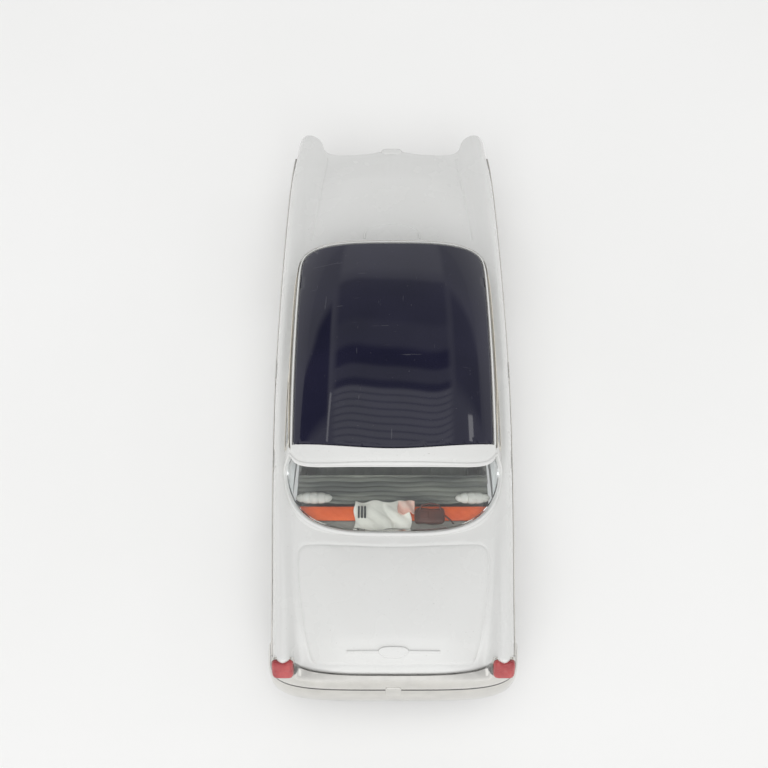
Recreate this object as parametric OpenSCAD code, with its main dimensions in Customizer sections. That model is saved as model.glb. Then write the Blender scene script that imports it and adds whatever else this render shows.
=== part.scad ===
// Two-tone four-door saloon, a 1:24 collector model. All lengths in millimetres.
// X is to the car's right, Y forward, Z up. The origin is on the ground under the middle of the car.

/* [Size] */
// Length over both bumpers
car_l = 210; // [208:0.5:212]
// Width across the doors
car_w = 80; // [79:0.5:82]
// Height of the roof's crown
roof_z = 65; // [64:0.5:67]
// Height of the belt line, where the windows start
belt_z = 41; // [40.5:0.1:41.5]
// Height of the sill's lower edge
sill_z = 9.5; // [9:0.1:10]
// Thickness of the cast shell
wall = 1.8; // [1.6:0.1:2]

/* [Wheels] */
// Distance between the axles
wheelbase = 121; // [120:0.5:122]
// Where the rear axle lies along the car
rear_axle_y = -56; // [-56.5:0.5:-55.5]
// Radius of the tyres
tyre_r = 14.4; // [14.2:0.1:14.6]
// Width of the tyres
tyre_w = 7; // [6.5:0.1:7]
// Distance between the middles of the left and right tyres
track = 62.5; // [62:0.1:63]
// Radius of the rims
rim_r = 9.4; // [9:0.1:9.8]
// Radius of the axles
axle_r = 1; // [0.9:0.05:1.2]
// Gap round an axle in its bearing
axle_gap = 0.05; // [0.03:0.01:0.08]

/* [Underside] */
// Lowest face of the base plate
plate_z = 8; // [7.8:0.1:8.2]
// Thickness of the base plate
plate_t = 1.4; // [1.2:0.1:1.5]
// Distance between the two display screw holes
display_pitch = 80; // [76:1:84]
// Radius of the display screw holes
display_r = 1.2; // [1:0.1:1.4]
// Depth of the display screw holes
display_depth = 5; // [4:0.1:5.5]

/* [Hidden] */
$fn = 48;
half_w = car_w / 2;
end_y = car_l / 2;
front_axle_y = rear_axle_y + wheelbase;
arch_r = tyre_r + 2.2;
wide_z = 28;         // height where the sides are widest
tuck = 3.2;          // how far the sill tucks in
side_n = 2.4;        // roundness of the shoulders
rear_face = -101.5;  // rear panel of the shell
lamp_y = -98;        // front of the tail lamp housings
lamp_x = 33.7;       // middle of a fin and its tail lamp
pod_x = 30.8;        // middle of a headlamp pod
pod_y = 103;         // front of a headlamp pod
head_z = 30.6;       // middle of a headlamp
head_r = 3.9;        // radius of a headlamp lens
head_rim = 0.5;      // width of a headlamp's rim
fit = 0.08;          // gap round pieces that are pressed or glued in
post_x = 17;         // body posts, left and right
post_y = 86;         // body posts, front and rear
plate_top = plate_z + plate_t;
paint = [0.87, 0.87, 0.85];
roof_blue = [0.09, 0.09, 0.17];
bright = [0.82, 0.82, 0.84];
clear = [0.75, 0.83, 0.86, 0.4];
lamp_red = [0.72, 0.1, 0.12];
orange = [0.93, 0.36, 0.1];
grey_card = [0.6, 0.58, 0.54];

// Lines along the car, each as [position, value] pairs with a smooth curve through them
narrowing = [[-105, 3.1], [-98, 2.6], [-79, 2], [-45, 0.8], [-12, 0.05], [12, 0.1], [43, 0.8], [75, 2],
    [90, 3.1], [98, 4.2], [101.5, 6], [103, 8.4]];
ridge_across = [[-105, 32.8], [-80, 33.6], [-60, 34.6], [-35, 36], [0, 36.6], [40, 35.8], [60, 34.2],
    [80, 32.2], [95, 30.8], [103, 30.4]];
ridge_height = [[-105, 37], [-98, 38.8], [-80, 40.2], [-60, 40.8], [0, 41], [50, 41], [80, 40.4],
    [95, 39.6], [100, 38.4], [103, 35.4]];
valley_across = [[-105, 27.4], [-92, 29], [-75, 30.4], [-60, 31.3], [0, 32], [45, 31], [60, 29.5],
    [80, 26.5], [95, 24.6], [103, 24.5]];
valley_height = [[-105, 29.5], [-98, 32.6], [-92, 35.4], [-80, 38.2], [-65, 39.7], [-40, 40.6], [0, 40.8],
    [45, 40.4], [60, 39.6], [80, 37.8], [95, 35.8], [103, 35]];
deck_height = [[-105, 31], [-101.5, 33.6], [-97, 36.6], [-91, 39.2], [-75, 40.9], [-60, 41.3], [-30, 41.2],
    [30, 41.4], [50, 42], [65, 41.6], [80, 40.2], [92, 38], [96, 36.8], [103, 35]];
nose_line = [[0, 96.3], [19, 95.2], [23.2, 95.9], [25.4, 98.6], [27.2, 101.4], [30.8, 103.5]];

// Greenhouse plan outlines: half width, then [middle, reach, squareness, spread] of the front and rear ends
belt_plan = [35.2, [20, 29, 4, 1], [-28, 32.3, 3, 1]];
roof_plan = [32.9, [18, 20.5, 5.6, 1], [-28, 14.9, 4.2, 0.6]];
panel_plan = [32.1, [18, 19.9, 5, 1], [-28, 10.7, 4.4, 0.7]];

// ---- Curves ----

function stretch(t, p, i = 0) = (i + 2 >= len(p) || t < p[i + 1][0]) ? i : stretch(t, p, i + 1);
function slope(p, i) =
    let (a = max(0, i - 1), b = min(len(p) - 1, i + 1))
    (p[b][1] - p[a][1]) / (p[b][0] - p[a][0]);
// Smooth curve through a list of [position, value] pairs
function curve(t, p) =
    let (i = stretch(t, p), h = p[i + 1][0] - p[i][0], s = min(1, max(0, (t - p[i][0]) / h)))
    let (a = p[i][1], b = p[i + 1][1], ma = slope(p, i) * h, mb = slope(p, i + 1) * h)
    a + s * (ma + s * (3 * (b - a) - 2 * ma - mb + s * (2 * (a - b) + ma + mb)));
function ease(s) = s * s * (3 - 2 * s);
function power(v, e) = v <= 0 ? 0 : pow(v, e);
function steps(n) = [for (k = [0 : n]) k / n];
function mirrored(pts) = [for (k = [len(pts) - 1 : -1 : 0]) [-pts[k][0], pts[k][1], pts[k][2]]];

// Point on a unit square with rounded corners, at an angle from its right side
function squircle(turn, n) =
    let (c = cos(turn), s = sin(turn), r = pow(pow(abs(c), n) + pow(abs(s), n), -1 / n)) [c * r, s * r];

function side_at(y) = half_w - curve(y, narrowing);
// Half width of the shoulder at height z
function shoulder_x(y, z) =
    let (r = curve(y, ridge_across), top = curve(y, ridge_height))
    r + (side_at(y) - r) * power(1 - power((z - wide_z) / (top - wide_z), side_n), 1 / side_n);

// Right half of the shell's section at y, from the sill up and over to the centre line
function half_section(y, in, low) =
    let (w = side_at(y) - in, r = curve(y, ridge_across), rz = curve(y, ridge_height) - in,
        v = curve(y, valley_across), vz = curve(y, valley_height) - in, dz = curve(y, deck_height) - in)
    concat(
        [for (s = steps(4)) [w - tuck * power(1 - s, 2.2), y, low + (wide_z - low) * s]],
        [for (k = [1 : 6]) [r + (w - r) * power(cos(15 * k), 2 / side_n), y,
            wide_z + (rz - wide_z) * power(sin(15 * k), 2 / side_n)]],
        [for (k = [1 : 4]) [r + (v - r) * k / 4, y, vz + (rz - vz) * ease(1 - k / 4)]],
        [for (k = [1 : 5]) [v * (1 - k / 5), y, dz + (vz - dz) * ease(power(1 - k / 5, 2.2))]]);
function section(y, in, low) =
    let (h = half_section(y, in, low), left = mirrored(h))
    concat(h, [for (k = [1 : len(left) - 1]) left[k]]);

// Point on a greenhouse plan outline: q runs 0 to 3 from the nose down the right side to the tail,
// and 3 to 6 back up the left side
function around(plan, q, in) =
    let (u = (q + 6) % 6, p = u <= 3 ? u : 6 - u, side = u <= 3 ? 1 : -1, a = plan[0] - in,
        e = p <= 1 ? plan[1] : plan[2], turn = p <= 1 ? 1 - p : p >= 2 ? p - 2 : 0,
        round_end = squircle(90 * power(turn, e[3]), e[2]), x = a * round_end[0],
        reach = (e[1] - in) * round_end[1],
        y = p <= 1 ? e[0] + reach : p >= 2 ? e[0] - reach : plan[1][0] + (plan[2][0] - plan[1][0]) * (p - 1),
        taper = 1 - 0.000024 * pow(max(0, y + 19), 2))
    [side * x * taper, y];
function roof_at(x, y, in) =
    roof_z - in - 4.2 * power(abs(y) / 39, 2.3) - 8 * power(abs(x) / 32.9, 3.2);
// Point on the window band: t is 0 at the belt and 1 at the roof's edge
function band(q, t, in) =
    let (b = around(belt_plan, q, in), r = around([roof_plan[0], roof_plan[1], roof_plan[2]], q, in),
        top = roof_at(r[0], r[1], in))
    [b[0] + (r[0] - b[0]) * t, b[1] + (r[1] - b[1]) * t, belt_z + (top - belt_z) * t];
// Ring of a plan outline drawn in towards the middle of the roof, at the roof's height less drop
function roof_ring(plan, f, in, drop, n) = [for (k = [0 : n - 1])
    let (r = around(plan, 6 * k / n, in), x = r[0] * f, y = -2 + (r[1] + 2) * f)
    [x, y, roof_at(x, y, 0) - drop]];

// ---- Building blocks ----

// Positive when the triangles turn anticlockwise as seen from outside
function winding(pts, tris) =
    let (ones = [for (p = pts) 1], mid = ones * pts / len(pts))
    let (v = [for (t = tris) (pts[t[0]] - mid) * cross(pts[t[1]] - mid, pts[t[2]] - mid)])
    v * [for (x = v) 1];

// Closed solid through a stack of rings that all have the same number of points
module loft(rings, looped = false) {
    n = len(rings[0]);
    m = len(rings);
    last = looped ? m - 1 : m - 2;
    sides = [for (j = [0 : last]) for (i = [0 : n - 1]) for (half = [0, 1])
        let (a = j * n + i, b = j * n + (i + 1) % n, c = ((j + 1) % m) * n + (i + 1) % n, d = ((j + 1) % m) * n + i)
        half == 0 ? [a, b, c] : [a, c, d]];
    start = n == 4 ? [[2, 1, 0], [3, 2, 0]] : [[for (i = [n - 1 : -1 : 0]) i]];
    end = n == 4 ? [[0, 1, 2], [0, 2, 3]] : [[for (i = [0 : n - 1]) i]];
    caps = looped ? [] : concat(start, [for (f = end) [for (i = f) (m - 1) * n + i]]);
    pts = [for (r = rings) for (p = r) p];
    faces = concat(sides, caps);
    outwards = winding(pts, sides) < 0;
    polyhedron(points = pts, convexity = 8,
        faces = outwards ? faces : [for (f = faces) [for (k = [len(f) - 1 : -1 : 0]) f[k]]]);
}

// Piece of the window band from q0 to q1 and t0 to t1, between two depths
module band_plate(q0, q1, t0, t1, outer, inner, nq) {
    loft([for (s = steps(nq)) let (q = q0 + (q1 - q0) * s)
        [band(q, t1, inner), band(q, t0, inner), band(q, t0, outer), band(q, t1, outer)]]);
}

// Loop of [q, t] points round a window, starting at its lower left corner
function window_loop(q0, q1, t0, t1, nq, nt) = concat(
    [for (k = [0 : nq - 1]) [q0 + (q1 - q0) * k / nq, t0]],
    [for (k = [0 : nt - 1]) [q1, t0 + (t1 - t0) * k / nt]],
    [for (k = [0 : nq - 1]) [q1 + (q0 - q1) * k / nq, t1]],
    [for (k = [0 : nt - 1]) [q0, t1 + (t0 - t1) * k / nt]]);
// Rim round a window: gq and gt are its width along q and t
module band_frame(q0, q1, t0, t1, gq, gt, outer, inner, nq, nt) {
    small = window_loop(q0, q1, t0, t1, nq, nt);
    large = window_loop(q0 - gq, q1 + gq, t0 - gt, t1 + gt, nq, nt);
    loft([for (k = [0 : len(small) - 1]) [
        band(large[k][0], large[k][1], outer), band(large[k][0], large[k][1], inner),
        band(small[k][0], small[k][1], inner), band(small[k][0], small[k][1], outer)]], looped = true);
}

// Greenhouse as a closed solid, drawn in by a distance all round
module greenhouse(in, low) {
    n = 60;
    skirt = [for (t = [(low - belt_z) / 16, 0, 0.5, 1]) [for (k = [0 : n - 1]) band(6 * k / n, t, in)]];
    dome = [for (f = [0.96, 0.88, 0.76, 0.6, 0.4, 0.2, 0.05]) roof_ring(roof_plan, f, in, in, n)];
    loft(concat(skirt, dome));
}

// Slab that follows the roof inside the panel's outline, between two depths
module roof_slab(grow, top, bottom) {
    n = 60;
    fs = [0.1, 0.3, 0.5, 0.7, 0.85, 0.95, 1];
    over = [for (f = fs) roof_ring(panel_plan, f, -grow, top, n)];
    under = [for (k = [len(fs) - 1 : -1 : 0]) roof_ring(panel_plan, fs[k], -grow, bottom, n)];
    loft(concat(over, under));
}

// Bar swept round an end of the car: profile is [outwards, upwards] points. Its inner side keeps
// clear of the wings, so what lies inwards counts for less across the car than along it
module end_bar(side, half, middle, reach, squareness, profile, n) {
    loft([for (k = [0 : n])
        let (u = squircle(180 * k / n, squareness), x = half * u[0], y = middle + reach * u[1],
            nx = sign(u[0]) * power(abs(u[0]), squareness - 1) / half,
            ny = power(u[1], squareness - 1) / reach, size = norm([nx, ny]))
        [for (p = profile) [x + p[0] * (p[0] < 0 ? 0.3 : 1) * nx / size, side * (y + p[0] * ny / size), p[1]]]]);
}

// ---- Shell and glass ----

// Outside of the shell between two places along it, grown by a gap
module shell_outside(y0, y1, gap) {
    loft([for (s = steps(8)) section(y0 + (y1 - y0) * s, -gap, sill_z)]);
}

module posts(r, z0, z1) {
    for (x = [-post_x, post_x]) for (y = [-post_y, post_y]) translate([x, y, z0]) cylinder(r = r, h = z1 - z0, $fn = 16);
}

module wheel_opening(y) {
    for (side = [-1, 1]) hull() {
        translate([side * 25, y, tyre_r]) rotate([0, 90 * side, 0]) cylinder(r = arch_r, h = 30);
        translate([side * 25, y, 0]) rotate([0, 90 * side, 0]) cylinder(r = arch_r, h = 30);
    }
}

module nose_gap() {
    edge = [for (k = [-20 : 20]) let (x = pod_x * k / 20) [x, curve(abs(x), nose_line)]];
    translate([0, 0, -1]) linear_extrude(60) polygon(concat(edge, [[pod_x, 115], [-pod_x, 115]]));
}

module body_shell() {
    color(paint) difference() {
        union() {
            loft([for (y = concat([rear_face, -100, -98, -95, -92, -88], [for (y = [-84 : 6 : 90]) y],
                [93, 95.5, 98, 100, 101.5, 102.5, pod_y])) section(y, 0, sill_z)]);
            greenhouse(0, belt_z - 3);
        }
        difference() {
            union() {
                loft([for (y = concat([rear_face + wall, -95, -90], [for (y = [-84 : 12 : 84]) y], [93.2]))
                    section(y, wall, 0)]);
                greenhouse(wall, belt_z - 6);
            }
            for (x = [-post_x, post_x]) for (y = [-post_y, post_y]) hull() {
                translate([x, y, plate_top]) cylinder(r = 2.6, h = 40, $fn = 16);
                translate([x + sign(x) * 3, y, 22]) cylinder(r = 0.8, h = 30, $fn = 16);
            }
        }
        band_plate(-0.533, 0.533, 0.07, 0.92, -2, wall + 2, 16);
        band_plate(2.18, 3.82, 0.06, 0.94, -2, wall + 2, 34);
        for (side = [-1, 1]) mirror([side < 0 ? 1 : 0, 0, 0]) {
            band_plate(0.615, 1.43, 0.07, 0.88, -2, wall + 2, 8);
            band_plate(1.4875, 2.06, 0.07, 0.88, -2, wall + 2, 8);
        }
        roof_slab(fit, -3, 0.9 + fit);
        for (y = [front_axle_y, rear_axle_y]) wheel_opening(y);
        nose_gap();
        translate([-half_w, 98, 0]) cube([car_w, 20, 24]);
        translate([-23, 88, 15]) cube([46, 20, 17.5]);
        for (x = [-pod_x, pod_x]) translate([x, 99.5, head_z]) rotate([-90, 0, 0])
            cylinder(r = head_r + head_rim + 0.2, h = 9);
        for (side = [-1, 1]) translate([side > 0 ? 30 : -45, lamp_y - 15, 23.9]) cube([15, 15, 30]);
        posts(1, plate_top - 1, plate_top + 9);
    }
}

module roof_panel() {
    color(roof_blue) roof_slab(0, 0, 0.9);
}

module windscreen_glass() {
    color(clear) band_plate(-0.528, 0.528, 0.075, 0.915, 0.5, 1.5, 24);
}

module rear_glass() {
    color(clear) band_plate(2.19, 3.81, 0.075, 0.92, 0.4, 1.5, 34);
}

module side_glass(side) {
    color(clear) mirror([side < 0 ? 1 : 0, 0, 0]) {
        band_plate(0.585, 2.1, 0.03, 0.9, wall + fit, wall + 0.8, 22);
    }
}
module left_side_glass() side_glass(-1);
module right_side_glass() side_glass(1);

module windscreen_trim() {
    color(bright) difference() {
        band_frame(-0.533, 0.533, 0.07, 0.92, 0.025, 0.045, -0.42, -0.08, 20, 4);
        shell_outside(30, 62, 0.05);
    }
}

module rear_window_trim() {
    color(paint) difference() {
        band_frame(2.18, 3.82, 0.06, 0.94, 0.03, 0.05, -0.55, -0.12, 44, 5);
        shell_outside(-72, -24, 0.05);
    }
}

module drip_rail(side) {
    qs = [for (s = steps(30)) 0.57 + 1.57 * s];
    color(bright) mirror([side < 0 ? 1 : 0, 0, 0]) loft([for (q = qs) [
        band(q, 0.95, -0.05), band(q, 1.01, -0.05), band(q, 1.02, -0.6), band(q, 0.96, -0.75)]]);
}
module left_drip_rail() drip_rail(-1);
module right_drip_rail() drip_rail(1);

// ---- Interior ----

module interior_tub() {
    color(grey_card) difference() {
        translate([-31, -39, 12.5]) cube([62, 83, 23.5]);
        translate([-30, -38, 13.5]) cube([60, 81, 40]);
        translate([-30.5, -40, 18.5]) cube([61, 5, 40]);
    }
}

// Bench seat: half widths at the foot and top, where the cushion starts and ends, and where the back ends
module bench(half, top_half, y0, y1, back_y, back_z) {
    hull() for (x = [-1, 1]) {
        translate([x * (half - 2), y0 + 2, 13.6]) cylinder(r = 2, h = 10, $fn = 20);
        translate([x * (half - 2), y1 - 2, 13.6]) cylinder(r = 2, h = 9, $fn = 20);
    }
    hull() for (x = [-1, 1]) {
        translate([x * (half - 2), y0 + 2, 17]) sphere(r = 2, $fn = 20);
        translate([x * (half - 2), y0 + (back_y - y0) * 0.8, back_z - 5]) sphere(r = 2, $fn = 20);
        translate([x * (top_half - 2), back_y, back_z - 2]) sphere(r = 2, $fn = 20);
    }
}

module front_seat() {
    color(grey_card) bench(28.5, 28.5, 0, 17, -1.5, 40);
}

module rear_seat() {
    color(grey_card) bench(25.5, 29.5, -36, -19, -46.3, 39.6);
}

module parcel_shelf() {
    color(orange) translate([0, 0, 37.6]) linear_extrude(0.9)
        polygon([for (k = [0 : 40]) let (q = 2.49 + 1.02 * k / 40) around(belt_plan, q, wall + 0.5)]);
}

module dashboard() {
    color(paint) hull() for (x = [-1, 1]) {
        translate([x * 27, 36, 31]) sphere(r = 1.5, $fn = 24);
        translate([x * 27, 38, 37.8]) sphere(r = 1.5, $fn = 24);
        translate([x * 27, 41.5, 37.8]) sphere(r = 1.5, $fn = 24);
    }
}

module steering_wheel() {
    color([0.15, 0.15, 0.16]) translate([-14, 29, 35]) rotate([58, 0, 0]) {
        rotate_extrude() translate([6, 0]) circle(r = 0.55, $fn = 24);
        for (a = [90, 210, 330]) rotate([0, 0, a]) rotate([0, 90, 0]) cylinder(r = 0.4, h = 6, $fn = 24);
        translate([0, 0, -6]) cylinder(r = 0.8, h = 6.6, $fn = 24);
    }
}

// ---- Underside ----

module plate_outline() {
    polygon([[-27, -96], [27, -96], [31, -90], [33, -60], [33.8, -30], [33.8, 30], [32.5, 60], [30, 86], [26, 91],
        [-26, 91], [-30, 86], [-32.5, 60], [-33.8, 30], [-33.8, -30], [-33, -60], [-31, -90]]);
}

module base_plate() {
    color([0.2, 0.2, 0.21]) difference() {
        union() {
            translate([0, 0, plate_z]) linear_extrude(plate_t) plate_outline();
            translate([-7, -display_pitch / 2 - 7, plate_z - 0.8]) cube([14, display_pitch + 14, 1.2]);
            for (y = [-1, 1]) translate([0, y * display_pitch / 2, plate_z]) cylinder(r = 3, h = 4.3);
            for (y = [front_axle_y, rear_axle_y]) for (x = [-1, 1])
                translate([x * 22 - 1.5, y - 3, plate_z]) cube([3, 6, tyre_r - plate_z + 3]);
        }
        for (y = [front_axle_y, rear_axle_y]) {
            for (x = [-1, 1]) translate([x > 0 ? 26 : -56, y - arch_r, 0]) cube([30, 2 * arch_r, 40]);
            translate([-30, y, tyre_r]) rotate([0, 90, 0]) cylinder(r = axle_r + axle_gap, h = 60);
        }
        for (y = [-1, 1]) translate([0, y * display_pitch / 2, plate_z - 0.8 - 1])
            cylinder(r = display_r, h = display_depth + 1);
        for (x = [-post_x, post_x]) for (y = [-post_y, post_y]) translate([x, y, 0]) cylinder(r = 1.1, h = 30);
    }
}

module base_screws() {
    color(bright) for (x = [-post_x, post_x]) for (y = [-post_y, post_y]) translate([x, y, 0]) difference() {
        union() {
            translate([0, 0, plate_z - 1.1]) cylinder(r = 1.9, h = 1.05);
            translate([0, 0, plate_z - 0.5]) cylinder(r = 0.85, h = 8);
        }
        for (a = [0, 90]) rotate([0, 0, a]) translate([-1.3, -0.25, plate_z - 2]) cube([2.6, 0.5, 1.4]);
    }
}

module exhaust_pipe() {
    color([0.45, 0.45, 0.46]) translate([21.5, 0, plate_z - 1.9]) rotate([-90, 0, 0]) {
        translate([0, 0, -96]) cylinder(r = 1, h = 130);
        translate([0, 0, -14]) cylinder(r = 1.8, h = 30);
    }
}

// ---- Bright work and lamps ----

blade_profile = [[-0.7, 10.6], [0.3, 10.6], [0.9, 12], [1.1, 15], [1.1, 18], [0.8, 21], [0.2, 22.6], [-0.7, 22.6]];
rear_profile = [[-0.8, 10.8], [0.1, 10.9], [0.8, 12.6], [1.1, 16.5], [1, 21], [0.6, 23.6], [0.2, 24.1], [0.5, 24.7],
    [0.4, 26.6], [0, 28.8], [-0.7, 30.5], [-1.5, 31], [-1.8, 30.6], [-1, 27.5], [-0.8, 23.5]];

module bumper(side, middle, profile, stay_z, stay_y, stay_l) {
    color(bright) {
        end_bar(side, 38.7, middle, end_y - 1.1 - middle, 6.5, profile, 44);
        for (x = [-20, 20]) translate([x, side * stay_y, stay_z]) rotate([-90 * side, 0, 0])
            cylinder(r = 1.2, h = stay_l, $fn = 24);
    }
}
module front_bumper() bumper(1, 88, blade_profile, 19, 98.05, 5.3);
module rear_bumper() {
    difference() {
        bumper(-1, 91, rear_profile, 16, -rear_face + 0.05, 1.8);
        shell_outside(rear_face - fit, -84, fit);
        for (x = [-lamp_x, lamp_x]) translate([x - 3.4, -101.4, 23.9]) cube([6.8, 4, 7.3]);
        guard(0.5 + fit);
    }
}

// Upright guard with corners of radius r, let into the middle of the rear bumper
module guard(r) {
    hull() for (x = [-1.8, 1.8]) {
        translate([x, -104.45, 14.5 - r]) cylinder(r = r, h = 11 + 2 * r, $fn = 24);
        translate([x, -103.6, 14.5 - r]) cylinder(r = r, h = 12.5 + 2 * r, $fn = 24);
    }
}
module rear_plate_guard() {
    color(bright) guard(0.5);
}

module grille() {
    color(bright) translate([0, 93, 0]) {
        difference() {
            translate([-22.9, 0, 15.1]) cube([45.8, 2, 17.3]);
            translate([-21.7, -1, 16.3]) cube([43.4, 4, 14.9]);
        }
        for (k = [1 : 4]) translate([-22, 0.6, 15.6 + 3.1 * k]) cube([44, 1, 0.9]);
        for (k = [-4 : 4]) translate([5 * k - 0.35, 0.3, 15.6]) cube([0.7, 0.9, 16]);
    }
}

module headlamp_bezel(side) {
    color(bright) translate([side * pod_x, 99.6, head_z]) rotate([-90, 0, 0]) rotate_extrude()
        polygon([[head_r + fit, 0], [head_r + head_rim, 0], [head_r + head_rim, 2.2], [head_r + head_rim - 0.2, 2.9],
            [head_r + fit, 2.4]]);
}
module left_headlamp_bezel() headlamp_bezel(-1);
module right_headlamp_bezel() headlamp_bezel(1);

module headlamp_lens(side) {
    dome = [for (k = [0 : 8]) [head_r * cos(90 * k / 8), 1.4 + 1.6 * sin(90 * k / 8)]];
    color(clear) translate([side * pod_x, 99.6, head_z]) rotate([-90, 0, 0]) rotate_extrude()
        polygon(concat([[0, 0], [head_r, 0]], dome));
}
module left_headlamp_lens() headlamp_lens(-1);
module right_headlamp_lens() headlamp_lens(1);

// Round-cornered slab across a fin: from y0 back to y1, at height z
module fin_slab(half, y0, y1, z) {
    for (x = [-1, 1]) for (y = [y0 - 0.8, y1 + 0.8]) translate([x * (half - 0.8), y, z]) cylinder(r = 0.8, h = 0.4, $fn = 20);
}

module tail_lamp_housing(side) {
    color(bright) translate([side * lamp_x, 0, 0]) difference() {
        union() {
            translate([-3.3, -101.3, 24]) cube([6.6, 3.2, 8]);
            hull() {
                fin_slab(3.4, lamp_y - fit, -103.3, 31.2);
                fin_slab(3.3, lamp_y - fit, -99.9, 38);
            }
        }
        hull() {
            translate([-2.9, -106, 31.9]) cube([5.8, 3.6, 0.2]);
            translate([-2.9, -106, 37.6]) cube([5.8, 7, 0.2]);
        }
    }
}
module left_tail_lamp_housing() tail_lamp_housing(-1);
module right_tail_lamp_housing() tail_lamp_housing(1);

module tail_lens(side) {
    color(lamp_red) translate([side * lamp_x, 0, 0]) hull() {
        translate([-2.8, -103.35, 32]) cube([5.6, 0.8, 0.3]);
        translate([-2.8, -102.3, 34.2]) cube([5.6, 0.8, 0.3]);
        translate([-2.8, -100.3, 37.1]) cube([5.6, 0.8, 0.3]);
    }
}
module left_tail_lens() tail_lens(-1);
module right_tail_lens() tail_lens(1);

module bonnet_crest() {
    color(bright) hull() {
        translate([0, 97.1, 35.6]) sphere(r = 0.7, $fn = 24);
        for (x = [-2.6, 2.6]) translate([x, 96.8, 36.2]) sphere(r = 0.4, $fn = 24);
    }
}

module boot_trim_bar() {
    z = curve(-97, deck_height) + 0.5;
    color(paint) {
        hull() for (x = [-13.4, 13.4]) translate([x, -97, z]) sphere(r = 0.35, $fn = 24);
        hull() for (x = [-2, 2]) translate([x, -97.3, z + 0.45]) sphere(r = 0.7, $fn = 24);
    }
}

module side_trim(side) {
    ys = [for (s = steps(44)) -96 + 191 * s];
    color(bright) mirror([side < 0 ? 1 : 0, 0, 0]) loft([for (y = ys) [
        for (c = [[0.05, -0.45], [0.4, -0.3], [0.4, 0.3], [0.05, 0.45]])
            [shoulder_x(y, 33.4 + c[1]) + c[0], y, 33.4 + c[1]]]]);
}
module left_side_trim() side_trim(-1);
module right_side_trim() side_trim(1);

module door_handles() {
    color(bright) for (side = [-1, 1]) for (y = [2, -31]) hull() for (dy = [-3, 3])
        translate([side * (shoulder_x(y, 36.2) + 0.55), y + dy, 36.2]) sphere(r = 0.45, $fn = 16);
}

// ---- Wheels ----

module along_x(side, y) {
    translate([side * track / 2, y, tyre_r]) rotate([0, 90 * side, 0]) children();
}

module axle(y) {
    color(bright) translate([-track / 2 - 1, y, tyre_r]) rotate([0, 90, 0]) cylinder(r = axle_r, h = track + 2);
}
module front_axle() axle(front_axle_y);
module rear_axle() axle(rear_axle_y);

module tyre(side, y) {
    mid = (tyre_r + rim_r) / 2;
    deep = (tyre_r - rim_r) / 2;
    section = [for (k = [0 : 35]) let (c = cos(10 * k), s = sin(10 * k))
        [mid + deep * sign(c) * power(abs(c), 0.62), tyre_w / 2 * sign(s) * power(abs(s), 0.62)]];
    color([0.08, 0.08, 0.08]) along_x(side, y) rotate_extrude($fn = 72) polygon(section);
}
module front_left_tyre() tyre(-1, front_axle_y);
module front_right_tyre() tyre(1, front_axle_y);
module rear_left_tyre() tyre(-1, rear_axle_y);
module rear_right_tyre() tyre(1, rear_axle_y);

module rim(side, y) {
    color(bright) along_x(side, y) rotate_extrude()
        polygon([[axle_r, -3], [2.6, -3], [3, -1], [rim_r - 1, -1], [rim_r - 0.05, -2], [rim_r - 0.05, 2.4],
            [rim_r - 0.7, 2.6], [rim_r - 1, 1.4], [6.6, 1], [axle_r, 1]]);
}
module front_left_rim() rim(-1, front_axle_y);
module front_right_rim() rim(1, front_axle_y);
module rear_left_rim() rim(-1, rear_axle_y);
module rear_right_rim() rim(1, rear_axle_y);

module hubcap(side, y) {
    dome = [for (k = [0 : 8]) [6.4 * cos(90 * k / 8), 1.3 + 1.9 * sin(90 * k / 8)]];
    color(bright) along_x(side, y) rotate_extrude() polygon(concat([[0, 1.05], [6.4, 1.05]], dome));
}
module front_left_hubcap() hubcap(-1, front_axle_y);
module front_right_hubcap() hubcap(1, front_axle_y);
module rear_left_hubcap() hubcap(-1, rear_axle_y);
module rear_right_hubcap() hubcap(1, rear_axle_y);

body_shell();
roof_panel();
windscreen_glass();
rear_glass();
left_side_glass();
right_side_glass();
windscreen_trim();
rear_window_trim();
left_drip_rail();
right_drip_rail();
interior_tub();
front_seat();
rear_seat();
parcel_shelf();
dashboard();
steering_wheel();
base_plate();
base_screws();
exhaust_pipe();
front_bumper();
rear_bumper();
rear_plate_guard();
grille();
left_headlamp_bezel();
right_headlamp_bezel();
left_headlamp_lens();
right_headlamp_lens();
left_tail_lamp_housing();
right_tail_lamp_housing();
left_tail_lens();
right_tail_lens();
bonnet_crest();
boot_trim_bar();
left_side_trim();
right_side_trim();
door_handles();
front_axle();
rear_axle();
front_left_tyre();
front_right_tyre();
rear_left_tyre();
rear_right_tyre();
front_left_rim();
front_right_rim();
rear_left_rim();
rear_right_rim();
front_left_hubcap();
front_right_hubcap();
rear_left_hubcap();
rear_right_hubcap();
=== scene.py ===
import math
from functools import lru_cache

import bmesh
import bpy
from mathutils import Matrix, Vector
from mathutils.kdtree import KDTree


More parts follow.
